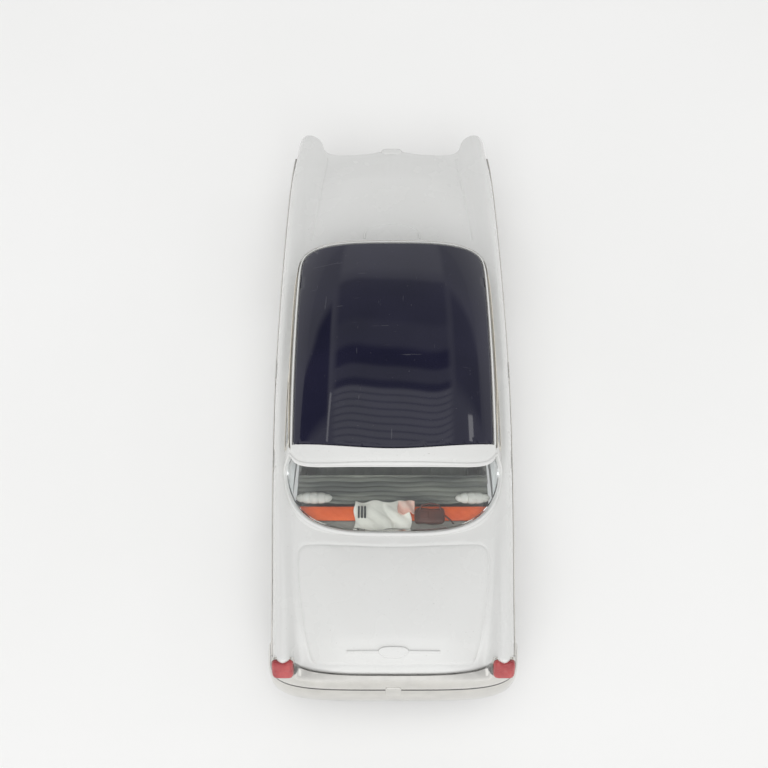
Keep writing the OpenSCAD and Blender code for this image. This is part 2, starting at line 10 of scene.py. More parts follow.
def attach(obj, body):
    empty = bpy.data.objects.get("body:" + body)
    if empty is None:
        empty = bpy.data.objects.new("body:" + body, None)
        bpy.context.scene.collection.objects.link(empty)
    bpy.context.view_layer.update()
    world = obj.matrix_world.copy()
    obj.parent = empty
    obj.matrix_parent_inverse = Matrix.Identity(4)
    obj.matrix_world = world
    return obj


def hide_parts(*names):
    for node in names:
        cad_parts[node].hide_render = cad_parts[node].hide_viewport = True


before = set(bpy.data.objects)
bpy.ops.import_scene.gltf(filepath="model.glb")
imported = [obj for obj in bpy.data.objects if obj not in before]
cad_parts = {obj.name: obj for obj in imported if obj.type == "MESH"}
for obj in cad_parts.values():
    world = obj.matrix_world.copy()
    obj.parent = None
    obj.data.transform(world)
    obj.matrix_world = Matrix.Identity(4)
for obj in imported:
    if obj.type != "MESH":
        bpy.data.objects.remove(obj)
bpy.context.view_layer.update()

MM = 0.001  # pieces are worked out in millimetres and scaled once, when they are finished

# ---- Driving dimensions, in millimetres ----

SIDES = {"left": -1, "right": 1}
HALF_W = 40.0  # at the widest place of the shell
END_Y = 105.0  # outer faces of the bumpers
ROOF_Z = 65.0
BELT_Z = 41.0  # foot of the greenhouse
SILL_Z = 9.5  # lower edge of the shell
WIDE_Z = 28.0  # height at which the shell is widest
TUCK = 3.2  # how far the sides draw in from there down to the sill
SIDE_N = 2.4  # squareness of the shoulder
AXLE_Y = {"front": 65.0, "rear": -56.0}
TYRE_R = 14.4
TYRE_W = 7.0
RIM_R = 9.4
TRACK = 62.5
ARCH_R = TYRE_R + 2.2
LAMP_X = 33.7  # middle of a tail lamp
POD_X = 30.8  # middle of a headlamp pod
POD_R = 4.9
POD_N = 2.5  # squareness of a pod's end, seen from above
POD_ROOT = 98.6  # where the pods start to stand out from the nose
POD_REACH = 4.3
HEAD_Z = 30.6
REAR_FACE = -101.5
POD_Y = 103.0
ROLL = 0.9  # radius of the rolled edges at the nose and tail
NOSE_FROM, TAIL_FROM = 80, -88  # beyond these the sheet follows the nose and tail lines

# Lines along the car: (y, value) pairs with a smooth curve through them
NARROWING = ((-105, 3.1), (-98, 2.6), (-79, 2), (-45, 0.8), (-12, 0.05), (12, 0.1), (43, 0.8), (75, 2),
             (90, 3.1), (98, 4.3), (103, 4.7))
RIDGE_ACROSS = ((-105, 32.8), (-80, 33.6), (-60, 34.6), (-35, 36), (0, 36.6), (40, 35.8), (60, 34.6),
                (80, 32.8), (95, 31.4), (103, 30.9))
RIDGE_HEIGHT = ((-105, 38.2), (-98, 39), (-80, 40.2), (-60, 40.8), (0, 41), (50, 41), (80, 40.4),
                (95, 39.6), (100, 38.8), (103, 37.4))
VALLEY_ACROSS = ((-105, 27.4), (-92, 29), (-75, 30.4), (-60, 31.3), (0, 32), (45, 31), (60, 29.5),
                 (80, 26.5), (95, 24.6), (103, 24.5))
VALLEY_HEIGHT = ((-105, 29.5), (-98, 32.6), (-92, 35.4), (-80, 38.2), (-65, 39.7), (-40, 40.6), (0, 40.8),
                 (45, 40.4), (60, 39.6), (80, 37.8), (95, 35.8), (103, 35))
DECK_HEIGHT = ((-105, 31), (-101.5, 33.6), (-97, 36.6), (-91, 39.2), (-75, 40.9), (-60, 41.3), (-30, 41.2),
               (30, 41.4), (50, 42), (65, 41.6), (80, 40.2), (92, 38), (96, 36.8), (103, 35))
# Ends of the shell in plan: (distance from the middle, y) pairs
TAIL_LINE = ((0, -101.2), (15, -101), (24, -100.1), (28, -99), (30.4, -98), (33.7, -99.3),
             (37, -97.6), (40, -97.6))
NOSE_INNER = ((0, 97.2), (4, 97.0), (9, 95.9), (18, 95.3), (22.6, 95.8), (24.6, 96.9),
              (POD_X - POD_R, POD_ROOT))
# Greenhouse outlines: half width, (middle, reach, squareness, spread) of the front end and of the rear end,
# and the taper, which starts at TAPER_FROM and grows forwards
BELT_PLAN = (35.2, (20, 29, 4, 1), (-28, 32.2, 3.4, 1), 0.000024)
ROOF_PLAN = (32.7, (18, 20.5, 7.4, 1), (-28, 14.5, 5, 0.6), 0.000011)
PANEL_PLAN = (31.9, (18, 19.9, 8.4, 1), (-28, 12.6, 12, 0.6), 0.000011)
TAPER_FROM = -19
PANEL_REAR = (-38.7, 4.1, 31.5)  # the panel's rear edge: its middle, its bow forwards, and at what half width
# The roof's fall towards its ends and its sides: how far, at what distance from the middle, how squarely
ROOF_FALL_Y = (4.2, 39, 2.3)
ROOF_FALL_X = (8, 32.9, 3.2)
# Windows: start and end round the greenhouse, then bottom and top as shares of its height
WINDSCREEN = (-0.533, 0.533, 0.07, 0.92)
REAR_WINDOW = (2.18, 3.82, 0.06, 0.94)
FRONT_DOOR_WINDOW = (0.615, 1.43, 0.07, 0.88)
REAR_DOOR_WINDOW = (1.4875, 2.06, 0.07, 0.88)
Q_LENGTH = 56.0  # millimetres round the greenhouse in one step of its outline
WINDOW_R, REAR_WINDOW_R = 2.6, 3.2
EDGE_BLEND = 2.0  # how far the rounding runs on each side of the roof's edge

# ---- Curves ----


def curve(t, points):
    """Smooth curve through (position, value) pairs."""
    last = len(points) - 1
    i = 0
    while i < last - 1 and t >= points[i + 1][0]:
        i += 1

    def slope(k):
        a, b = max(0, k - 1), min(last, k + 1)
        return (points[b][1] - points[a][1]) / (points[b][0] - points[a][0])

    h = points[i + 1][0] - points[i][0]
    s = min(1.0, max(0.0, (t - points[i][0]) / h))
    a, b = points[i][1], points[i + 1][1]
    ma, mb = slope(i) * h, slope(i + 1) * h
    return a + s * (ma + s * (3 * (b - a) - 2 * ma - mb + s * (2 * (a - b) + ma + mb)))


def ease(s):
    s = min(1.0, max(0.0, s))
    return s * s * (3 - 2 * s)


def power(v, e):
    return 0.0 if v <= 0 else v ** e


def squircle(turn, n):
    """Point on a unit square with rounded corners, at an angle from its right side."""
    c, s = math.cos(turn), math.sin(turn)
    r = (abs(c) ** n + abs(s) ** n) ** (-1 / n)
    return c * r, s * r


def blend(a, b, s):
    return a + (b - a) * s


def bump(v, middle, width):
    return math.exp(-(((v - middle) / width) ** 2))


# ---- Shape of the shell ----

DECK_END, RIDGE_AT, WIDE_AT = 0.42, 0.53, 0.75  # where the deck, fin and shoulder end across the sheet


@lru_cache(maxsize=None)
def station(y):
    return (HALF_W - curve(y, NARROWING), curve(y, RIDGE_ACROSS), curve(y, RIDGE_HEIGHT),
            curve(y, VALLEY_ACROSS), curve(y, VALLEY_HEIGHT), curve(y, DECK_HEIGHT))


def cross_section(s, y):
    """x and z of the shell at y; s runs 0 to 1 from the centre line over the shoulder to the sill."""
    w, rx, rz, vx, vz, dz = station(y)
    if s <= DECK_END:
        f = s / DECK_END
        return vx * f, dz + (vz - dz) * ease(power(f, 2.2))
    if s <= RIDGE_AT:
        f = (s - DECK_END) / (RIDGE_AT - DECK_END)
        return blend(vx, rx, f), blend(vz, rz, ease(f))
    if s <= WIDE_AT:
        turn = (s - RIDGE_AT) / (WIDE_AT - RIDGE_AT) * math.pi / 2
        return (rx + (w - rx) * power(math.sin(turn), 2 / SIDE_N),
                WIDE_Z + (rz - WIDE_Z) * power(math.cos(turn), 2 / SIDE_N))
    f = (s - WIDE_AT) / (1 - WIDE_AT)
    return w - TUCK * power(f, 2.2), blend(WIDE_Z, SILL_Z, f)


def shoulder_x(y, z):
    w, rx, rz = station(y)[:3]
    return rx + (w - rx) * power(1 - power((z - WIDE_Z) / (rz - WIDE_Z), SIDE_N), 1 / SIDE_N)


def nose_y(x):
    """Front edge of the shell in plan: the bonnet's edge and the round ends of the headlamp pods."""
    x = abs(x)
    if x <= POD_X - POD_R:
        return curve(x, NOSE_INNER)
    return POD_ROOT + POD_REACH * power(1 - min(1.0, abs(x - POD_X) / POD_R) ** POD_N, 1 / POD_N)


def tail_y(x):
    return curve(abs(x), TAIL_LINE)


def shell_point(s, v):
    """Point of the shell. v runs along the car; its ends follow the nose and tail lines and roll over."""
    x, z = cross_section(abs(s), v)
    flat = abs(s) <= WIDE_AT
    y = v
    if v > NOSE_FROM:
        end = nose_y(x) if flat else POD_ROOT
        y = NOSE_FROM + (v - NOSE_FROM) * (end - NOSE_FROM) / (POD_Y - NOSE_FROM)
        over = POD_Y - v
    elif v < TAIL_FROM:
        end = tail_y(x) if flat else tail_y(HALF_W)
        y = TAIL_FROM + (v - TAIL_FROM) * (end - TAIL_FROM) / (REAR_FACE - TAIL_FROM)
        over = v - REAR_FACE
    else:
        over = ROLL
    if flat and over < ROLL:
        z -= (ROLL - math.sqrt(max(0.0, ROLL ** 2 - (ROLL - over) ** 2))) * ease((z - WIDE_Z) / 3)
    return Vector((math.copysign(x, s), y, z))


# ---- Shape of the greenhouse ----


def taper(plan, y):
    """Share of its full width that a greenhouse outline has at y."""
    return 1 - plan[3] * max(0.0, y - TAPER_FROM) ** 2


def around(plan, q):
    """Point on a greenhouse outline.

    q runs from 0 at the front, down the right side to 3 at the rear, and up the left side to 6.
    """
    u = q % 6
    p, side = (u, 1) if u <= 3 else (6 - u, -1)
    front, rear = plan[1], plan[2]
    if 1 < p < 2:
        x, y = plan[0], blend(front[0], rear[0], p - 1)
    else:
        end = front if p <= 1 else rear
        share = 1 - p if p <= 1 else p - 2
        c, s = squircle(math.pi / 2 * power(share, end[3]), end[2])
        x, y = plan[0] * c, end[0] + end[1] * s * (1 if p <= 1 else -1)
    return side * x * taper(plan, y), y


def roof_at(x, y):
    """Height of the roof, which falls away towards its ends and its sides."""
    fall_y, reach_y, n_y = ROOF_FALL_Y
    fall_x, reach_x, n_x = ROOF_FALL_X
    return ROOF_Z - fall_y * power(abs(y) / reach_y, n_y) - fall_x * power(abs(x) / reach_x, n_x)


def panel_rear(x):
    return PANEL_REAR[0] + PANEL_REAR[1] * (x / PANEL_REAR[2]) ** 2


@lru_cache(maxsize=None)
def rails(q):
    """The belt point, roof edge point and panel edge point at q."""
    bx, by = around(BELT_PLAN, q)
    rx, ry = around(ROOF_PLAN, q)
    px, py = around(PANEL_PLAN, q)
    py = max(py, panel_rear(px))
    return Vector((bx, by, BELT_Z)), Vector((rx, ry, roof_at(rx, ry))), Vector((px, py, roof_at(px, py)))


def band(q, t):
    """Point on the window band, from 0 at the belt to 1 at the roof's edge."""
    belt, edge, _ = rails(q)
    return belt.lerp(edge, t)


def band_normal(q, t):
    a = band(q + 0.004, t) - band(q - 0.004, t)
    b = rails(q)[1] - rails(q)[0]
    return a.cross(b).normalized() * -1


def hoop_point(q, t):
    """Greenhouse skin: the window band to 1, the rounded edge to 2, the roof hoop to 3, its recess to 4."""
    belt, edge, panel = rails(q)
    up = (edge - belt).normalized()
    low = edge - up * EDGE_BLEND
    inward = panel - edge
    high = edge + inward * min(0.5, EDGE_BLEND / max(inward.length, 0.01))
    if t <= 1:
        return belt.lerp(low, t)
    if t <= 2:
        s = t - 1
        return low.lerp(edge, s).lerp(edge.lerp(high, s), s)
    if t <= 3:
        s = t - 2
        x, y = blend(high.x, panel.x, s), blend(high.y, panel.y, s)
        return Vector((x, y, blend(high.z, panel.z, s)))
    return panel + Vector((0, 0, -1.2 * (t - 3)))


# ---- Sheet work ----


def flat_pattern(us, vs):
    """Flat grid whose columns and rows lie at the given values."""
    bm = bmesh.new()
    bmesh.ops.create_grid(bm, x_segments=len(us) - 1, y_segments=len(vs) - 1, size=0.5)
    for v in bm.verts:
        i = round((v.co.x + 0.5) * (len(us) - 1))
        j = round((v.co.y + 0.5) * (len(vs) - 1))
        v.co = (us[i], vs[j], 0)
    return bm


def spread(a, b, n):
    return [a + (b - a) * k / n for k in range(n + 1)]


def carve(bm, distance):
    """Cuts away what lies where distance is negative, along its zero line."""
    bmesh.ops.triangulate(bm, faces=bm.faces[:])
    value = {v: distance(v.co.x, v.co.y) for v in bm.verts}
    moves = {}
    for e in bm.edges:
        a, b = e.verts
        da, db = value[a], value[b]
        if da * db >= 0:
            continue
        near, far = (a, b) if abs(da) < abs(db) else (b, a)
        share = value[near] / (value[near] - value[far])
        moves.setdefault(near, []).append(near.co.lerp(far.co, share))
    for v, places in moves.items():
        v.co = sum(places, Vector()) / len(places)
        value[v] = 0.0
    gone = [f for f in bm.faces if sum(value[v] for v in f.verts) < 0]
    bmesh.ops.delete(bm, geom=gone, context="FACES")


def refine(bm, near, times):
    """Splits the triangles finer wherever near(u, v) is true."""
    for _ in range(times):
        edges = [e for e in bm.edges if near(e.verts[0].co) and near(e.verts[1].co)]
        bmesh.ops.subdivide_edges(bm, edges=edges, cuts=1, use_grid_fill=True)
        bmesh.ops.triangulate(bm, faces=[f for f in bm.faces if len(f.verts) > 3])


def form(bm, shape):
    for v in bm.verts:
        v.co = shape(v.co.x, v.co.y)


def outward(bm, centre=None):
    """Turns an open sheet's faces away from a centre point."""
    bmesh.ops.recalc_face_normals(bm, faces=bm.faces[:])
    middle = Vector(centre) if centre else Vector((0, 0, 25))
    total = sum((f.calc_center_median() - middle).dot(f.normal) * f.calc_area() for f in bm.faces)
    if total < 0:
        bmesh.ops.reverse_faces(bm, faces=bm.faces[:])


def thicken(bm, depth):
    """Gives an open sheet that faces outwards a wall on its inner side."""
    bm.normal_update()
    bmesh.ops.solidify(bm, geom=bm.faces[:], thickness=depth)
    bmesh.ops.recalc_face_normals(bm, faces=bm.faces[:])


def closed_sweep(path, profile):
    """Solid swept from ring to ring: path gives a frame for each place, profile the ring's flat points."""
    bm = flat_pattern(spread(0, 1, len(path) - 1), spread(0, 1, len(profile)))
    last = len(profile)
    for v in bm.verts:
        i = round(v.co.x * (len(path) - 1))
        j = round(v.co.y * last) % last
        v.co = path[i](profile[j])
    bmesh.ops.remove_doubles(bm, verts=bm.verts[:], dist=0.0005)
    bmesh.ops.holes_fill(bm, edges=[e for e in bm.edges if e.is_boundary], sides=0)
    bmesh.ops.recalc_face_normals(bm, faces=bm.faces[:])
    return bm


def lathe(points, middle, outwards, steps=72):
    """Turned piece round an axis along X: points are (radius, distance outwards)."""
    bm = bmesh.new()
    verts = [bm.verts.new((outwards * x, 0, r)) for r, x in points]
    edges = [bm.edges.new((verts[k], verts[(k + 1) % len(verts)])) for k in range(len(verts))]
    bmesh.ops.spin(bm, geom=verts + edges, cent=(0, 0, 0), axis=(1, 0, 0), angle=2 * math.pi,
                   steps=steps, use_merge=True)
    bmesh.ops.remove_doubles(bm, verts=bm.verts[:], dist=0.0005)
    bmesh.ops.recalc_face_normals(bm, faces=bm.faces[:])
    bmesh.ops.translate(bm, verts=bm.verts[:], vec=middle)
    return bm


def pipe(points, radius, sides=12):
    """Round bar along points, with closed ends."""
    path = []
    for k, p in enumerate(points):
        ahead = Vector(points[min(k + 1, len(points) - 1)]) - Vector(points[max(k - 1, 0)])
        turn = ahead.to_track_quat("Z", "Y").to_matrix()
        path.append(lambda c, m=turn, at=Vector(p): at + m @ Vector((c[0], c[1], 0)))
    ring = [(radius * math.cos(2 * math.pi * k / sides), radius * math.sin(2 * math.pi * k / sides))
            for k in range(sides)]
    return closed_sweep(path, ring)


def block(low, high, edge, segments=3):
    """Box with rounded edges."""
    bm = bmesh.new()
    bmesh.ops.create_cube(bm, size=1)
    low, high = Vector(low), Vector(high)
    for v in bm.verts:
        v.co = [blend(low[k], high[k], v.co[k] + 0.5) for k in range(3)]
    bmesh.ops.bevel(bm, geom=bm.edges[:] + bm.verts[:], offset=edge, segments=segments, profile=0.5,
                    affect="EDGES", material=-1)
    return bm


def joined(parts):
    """One bmesh from several, which stay separate islands."""
    whole = parts[0]
    for part in parts[1:]:
        mesh = bpy.data.meshes.new("part")
        part.to_mesh(mesh)
        part.free()
        whole.from_mesh(mesh)
        bpy.data.meshes.remove(mesh)
    return whole


def flipped(bm):
    """Mirror image in the car's centre plane."""
    copy = bm.copy()
    bmesh.ops.scale(copy, vec=(-1, 1, 1), verts=copy.verts[:])
    bmesh.ops.reverse_faces(copy, faces=copy.faces[:])
    return copy


def piece(bm, name, material, body="car", stands_for=(), sharp=34):
    """Finishes a bmesh as an object of the model."""
    limit = math.radians(sharp)
    bm.normal_update()
    for e in bm.edges:
        e.smooth = len(e.link_faces) == 2 and e.calc_face_angle(0) < limit
    for f in bm.faces:
        f.smooth = True
    bmesh.ops.scale(bm, vec=(MM, MM, MM), verts=bm.verts[:])
    mesh = bpy.data.meshes.new(name)
    bm.to_mesh(mesh)
    bm.free()
    mesh.materials.append(material)
    obj = bpy.data.objects.new(name, mesh)
    bpy.context.scene.collection.objects.link(obj)
    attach(obj, body)
    if stands_for:
        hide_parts(*stands_for)
    return obj

# ---- Finishes ----


class Finish:
    """A material being made up: its main shader, and the patterns that feed it."""

    def __init__(self, name, colour, **sockets):
        self.material = bpy.data.materials.new(name)
        self.material.use_nodes = True
        self.tree = self.material.node_tree
        self.shader = self.tree.nodes["Principled BSDF"]
        self.shader.inputs["Base Color"].default_value = (*colour, 1)
        for label, value in sockets.items():
            self.shader.inputs[label.replace("_", " ")].default_value = value

    def node(self, kind, **settings):
        made = self.tree.nodes.new("ShaderNode" + kind)
        for label, value in settings.items():
            setattr(made, label, value)
        return made

    def link(self, source, target):
        self.tree.links.new(source, target)

    def place(self, stretch=(1, 1, 1)):
        """Position on the piece, in metres, stretched along the axes."""
        mapping = self.node("Mapping")
        mapping.inputs["Scale"].default_value = stretch
        self.link(self.node("TexCoord").outputs["Object"], mapping.inputs["Vector"])
        return mapping.outputs["Vector"]

    def noise(self, scale, detail=3, stretch=(1, 1, 1), roughness=0.5):
        made = self.node("TexNoise")
        made.inputs["Scale"].default_value = scale
        made.inputs["Detail"].default_value = detail
        made.inputs["Roughness"].default_value = roughness
        self.link(self.place(stretch), made.inputs["Vector"])
        return made.outputs["Fac"]

    def cells(self, scale, stretch=(1, 1, 1)):
        made = self.node("TexVoronoi")
        made.inputs["Scale"].default_value = scale
        self.link(self.place(stretch), made.inputs["Vector"])
        return made.outputs["Distance"]

    def span(self, value, low, high, to_low=0.0, to_high=1.0):
        """Carries the range low to high over to another range."""
        made = self.node("MapRange")
        for label, number in (("From Min", low), ("From Max", high), ("To Min", to_low), ("To Max", to_high)):
            made.inputs[label].default_value = number
        self.link(value, made.inputs["Value"])
        return made.outputs["Result"]

    def product(self, a, b):
        made = self.node("Math", operation="MULTIPLY")
        self.link(a, made.inputs[0])
        self.link(b, made.inputs[1])
        return made.outputs[0]

    def tint(self, share, first, second):
        """Colour that goes from first to second; either is a colour or an earlier result."""
        made = self.node("Mix", data_type="RGBA")
        self.link(share, made.inputs["Factor"])
        for label, colour in (("A", first), ("B", second)):
            socket = [s for s in made.inputs if s.name == label and s.type == "RGBA"][0]
            if isinstance(colour, tuple):
                socket.default_value = (*colour, 1)
            else:
                self.link(colour, socket)
        return [s for s in made.outputs if s.type == "RGBA"][0]

    def colour(self, result):
        self.link(result, self.shader.inputs["Base Color"])

    def roughness(self, result):
        self.link(result, self.shader.inputs["Roughness"])

    def mottle(self, scale, detail, first, second, low=0.35, high=0.65):
        """Blotches that go from one colour to another."""
        self.colour(self.tint(self.span(self.noise(scale, detail), low, high), first, second))

    def wear(self, scale, detail, smooth, rough, low=0.3, high=0.7):
        """Roughness that wanders from smooth to rough."""
        self.roughness(self.span(self.noise(scale, detail), low, high, smooth, rough))

    def relief(self, height, depth, strength=1.0):
        """Raises the surface by height times depth, in metres."""
        made = self.node("Bump")
        made.inputs["Strength"].default_value = strength
        made.inputs["Distance"].default_value = depth
        self.link(height, made.inputs["Height"])
        self.link(made.outputs["Normal"], self.shader.inputs["Normal"])


def cream_enamel():
    f = Finish("cream enamel", (0.69, 0.69, 0.67), Coat_Weight=0.5, Coat_Roughness=0.1,
               Specular_IOR_Level=0.3)
    cloud = f.span(f.noise(26, 4), 0.35, 0.65)
    specks = f.span(f.noise(2100, 2), 0.72, 0.78)
    f.colour(f.tint(specks, f.tint(cloud, (0.722, 0.722, 0.704), (0.742, 0.742, 0.727)), (0.5, 0.49, 0.46)))
    f.wear(90, 3, 0.2, 0.32)
    f.relief(f.noise(420, 2), 0.00002, 0.25)
    return f.material


def midnight_enamel():
    f = Finish("midnight blue enamel", (0.012, 0.012, 0.026), Coat_Weight=1.0, Coat_Roughness=0.05,
               Specular_IOR_Level=0.05)
    dust = f.span(f.cells(620), 0.06, 0.03)
    dust = f.product(dust, f.span(f.noise(150, 2), 0.52, 0.62))
    hairs = f.span(f.noise(70, 2, (1, 22, 1)), 0.735, 0.76)
    cross_hairs = f.span(f.noise(60, 2, (18, 2, 1)), 0.74, 0.765)
    depth = f.tint(f.span(f.noise(45, 4), 0.35, 0.65), (0.007, 0.0072, 0.022), (0.0115, 0.0112, 0.03))
    scuffed = f.tint(hairs, depth, (0.06, 0.06, 0.075))
    scuffed = f.tint(cross_hairs, scuffed, (0.05, 0.05, 0.065))
    f.colour(f.tint(dust, scuffed, (0.2, 0.19, 0.2)))
    f.wear(120, 4, 0.12, 0.26)
    f.relief(f.noise(340, 2), 0.00002, 0.2)
    return f.material


def bright_plate(name="bright plate", colour=(0.82, 0.82, 0.83), low=0.06, high=0.17):
    f = Finish(name, colour, Metallic=1.0)
    f.mottle(180, 4, colour, tuple(0.88 * c for c in colour), high=0.7)
    f.wear(260, 4, low, high)
    f.relief(f.noise(700, 2), 0.00001, 0.2)
    return f.material


def clear_plastic():
    """Window moulding, which lets the lamps' light straight through."""
    f = Finish("clear window plastic", (0.95, 0.98, 0.985), Transmission_Weight=1.0, IOR=1.46,
               Specular_IOR_Level=0.06)
    f.wear(160, 3, 0.0, 0.035, low=0.4)
    f.relief(f.noise(60, 2), 0.00004, 0.15)
    open_way = f.node("BsdfTransparent")
    open_way.inputs["Color"].default_value = (0.93, 0.96, 0.965, 1)
    either = f.node("MixShader")
    f.link(f.node("LightPath").outputs["Is Shadow Ray"], either.inputs["Fac"])
    f.link(f.shader.outputs["BSDF"], either.inputs[1])
    f.link(open_way.outputs["BSDF"], either.inputs[2])
    f.link(either.outputs["Shader"], f.tree.nodes["Material Output"].inputs["Surface"])
    return f.material


def ruby_lens():
    f = Finish("ruby lens", (0.62, 0.03, 0.045), Transmission_Weight=0.25, IOR=1.49, Coat_Weight=1.0,
               Coat_Roughness=0.03)
    f.mottle(240, 3, (0.4, 0.018, 0.026), (0.6, 0.075, 0.075))
    f.wear(300, 3, 0.08, 0.2)
    return f.material


def vinyl(name, colour, shade, grain=1500):
    f = Finish(name, colour, Specular_IOR_Level=0.4)
    f.mottle(120, 4, colour, shade)
    f.wear(300, 3, 0.42, 0.6)
    f.relief(f.cells(grain), 0.00008, 0.5)
    return f.material


def streaked_vinyl():
    f = Finish("olive seat vinyl", (0.25, 0.25, 0.2), Specular_IOR_Level=0.3)
    bands = f.span(f.noise(260, 3, (0.12, 1, 1)), 0.35, 0.65)
    f.colour(f.tint(bands, (0.085, 0.088, 0.078), (0.27, 0.27, 0.225)))
    f.wear(300, 3, 0.42, 0.6)
    return f.material


def moulding(name, colour, shade, low=0.35, high=0.55, grain=900):
    f = Finish(name, colour, Specular_IOR_Level=0.45)
    f.mottle(150, 4, colour, shade)
    f.wear(220, 4, low, high)
    f.relief(f.noise(grain, 3), 0.00003, 0.4)
    return f.material


def tyre_rubber():
    f = Finish("tyre rubber", (0.03, 0.03, 0.03), Specular_IOR_Level=0.3)
    f.mottle(300, 4, (0.022, 0.022, 0.023), (0.05, 0.049, 0.047), low=0.4)
    f.wear(200, 3, 0.62, 0.8)
    f.relief(f.noise(1300, 4), 0.00006, 0.5)
    return f.material


def turned_steel():
    f = Finish("turned steel", (0.6, 0.6, 0.61), Metallic=1.0)
    f.roughness(f.span(f.noise(900, 3, (8, 1, 1)), 0.3, 0.7, 0.22, 0.4))
    f.colour(f.tint(f.noise(500, 3, (9, 1, 1)), (0.52, 0.52, 0.53), (0.68, 0.68, 0.69)))
    return f.material


def glowing_table_top():
    # The table top glows faintly through its emission: painted light that fills the shadows round the car and
    # lights its sides from below.
    f = Finish("pale glowing table top", (0.8, 0.8, 0.79), Specular_IOR_Level=0.2, Roughness=0.6,
               Emission_Strength=0.155)
    f.shader.inputs["Emission Color"].default_value = (1, 0.99, 0.975, 1)
    f.mottle(6, 4, (0.785, 0.783, 0.772), (0.81, 0.808, 0.8), 0.3, 0.7)
    return f.material


PAINT = cream_enamel()
ROOF = midnight_enamel()
CHROME = bright_plate("bright plate", (0.74, 0.725, 0.69))
SATIN_PLATE = bright_plate("satin plate", (0.78, 0.77, 0.74), 0.2, 0.34)
WARM_PLATE = bright_plate("warm plate", (0.8, 0.76, 0.68), 0.12, 0.26)
CLEAR = clear_plastic()
RUBY = ruby_lens()
GREY_VINYL = vinyl("grey seat vinyl", (0.3, 0.3, 0.27), (0.23, 0.23, 0.205))
OLIVE_VINYL = streaked_vinyl()
PALE_VINYL = vinyl("pale roll vinyl", (0.66, 0.64, 0.58), (0.56, 0.54, 0.49))
ORANGE_VINYL = vinyl("orange shelf vinyl", (0.86, 0.13, 0.012), (0.72, 0.09, 0.008))
CARD = moulding("grey trim card", (0.27, 0.26, 0.235), (0.2, 0.195, 0.18), 0.5, 0.7)
SHELF_CARD = moulding("brown grey shelf card", (0.33, 0.3, 0.26), (0.25, 0.23, 0.2), 0.5, 0.7)
BLACK = moulding("black moulding", (0.02, 0.02, 0.022), (0.035, 0.035, 0.036))
BASE_BLACK = moulding("satin black base enamel", (0.035, 0.035, 0.037), (0.05, 0.05, 0.05), 0.32, 0.5)
PIPE_GREY = moulding("dull pipe metal", (0.3, 0.3, 0.31), (0.2, 0.19, 0.18), 0.35, 0.6)
PIPE_GREY.node_tree.nodes["Principled BSDF"].inputs["Metallic"].default_value = 1.0
RUBBER = tyre_rubber()
WHITE_WALL = moulding("white wall rubber", (0.72, 0.71, 0.68), (0.62, 0.61, 0.57), 0.5, 0.68)
STEEL = turned_steel()
CLOTH_WHITE = moulding("white printed cloth", (0.8, 0.76, 0.68), (0.66, 0.63, 0.56), 0.6, 0.8, 1500)
BAG_BROWN = moulding("brown bag moulding", (0.12, 0.028, 0.014), (0.035, 0.01, 0.006), 0.4, 0.6, 300)
PINK_CARD = moulding("pink cloth", (0.7, 0.3, 0.22), (0.72, 0.6, 0.52), 0.6, 0.8, 300)

# ---- Distances on the shell ----


def plan_norm(plan, x, y):
    """1 on a greenhouse outline, less inside it."""
    x = abs(x) / taper(plan, y) / plan[0]
    (front, front_reach, front_n, _), (rear, rear_reach, rear_n, _) = plan[1], plan[2]
    if y > front:
        return (x ** front_n + ((y - front) / front_reach) ** front_n) ** (1 / front_n)
    if y < rear:
        return (x ** rear_n + ((rear - y) / rear_reach) ** rear_n) ** (1 / rear_n)
    return x


def plan_distance(plan, x, y):
    """Distance outside a greenhouse outline, negative inside it."""
    here = plan_norm(plan, x, y)
    step = 0.05
    rise_x = (plan_norm(plan, abs(x) + step, y) - here) / step
    rise_y = (plan_norm(plan, x, y + step) - here) / step
    return (here - 1) / max(math.hypot(rise_x, rise_y), 0.008)


def rounded_box(u, v, low_u, high_u, low_v, high_v, r):
    """Distance outside a rectangle with rounded corners, negative inside it."""
    du = abs(u - (low_u + high_u) / 2) - (high_u - low_u) / 2 + r
    dv = abs(v - (low_v + high_v) / 2) - (high_v - low_v) / 2 + r
    return math.hypot(max(du, 0), max(dv, 0)) + min(max(du, dv), 0) - r


def dense_line(points, closed=False):
    """Points every 0.3 mm along a smooth line through a few places."""
    places = [Vector(p) for p in points]
    count = len(places)
    dense = []
    for k in range(count if closed else count - 1):
        if closed:
            p = [places[(k + d) % count] for d in (-1, 0, 1, 2)]
        else:
            p = [places[min(max(k + d, 0), count - 1)] for d in (-1, 0, 1, 2)]
        n = max(2, int((p[2] - p[1]).length / 0.3))
        for j in range(n):
            s = j / n
            dense.append(0.5 * (2 * p[1] + (p[2] - p[0]) * s
                                + (2 * p[0] - 5 * p[1] + 4 * p[2] - p[3]) * s * s
                                + (3 * p[1] - p[0] - 3 * p[2] + p[3]) * s ** 3))
    return dense


def nearest_on(lines):
    """Look-up of the distance from a flat point to the closest of several lines."""
    dots = [p for line in lines for p in line]
    tree = KDTree(len(dots))
    for k, p in enumerate(dots):
        tree.insert((p.x, p.y, 0), k)
    tree.balance()
    return lambda u, v: tree.find((u, v, 0))[2]


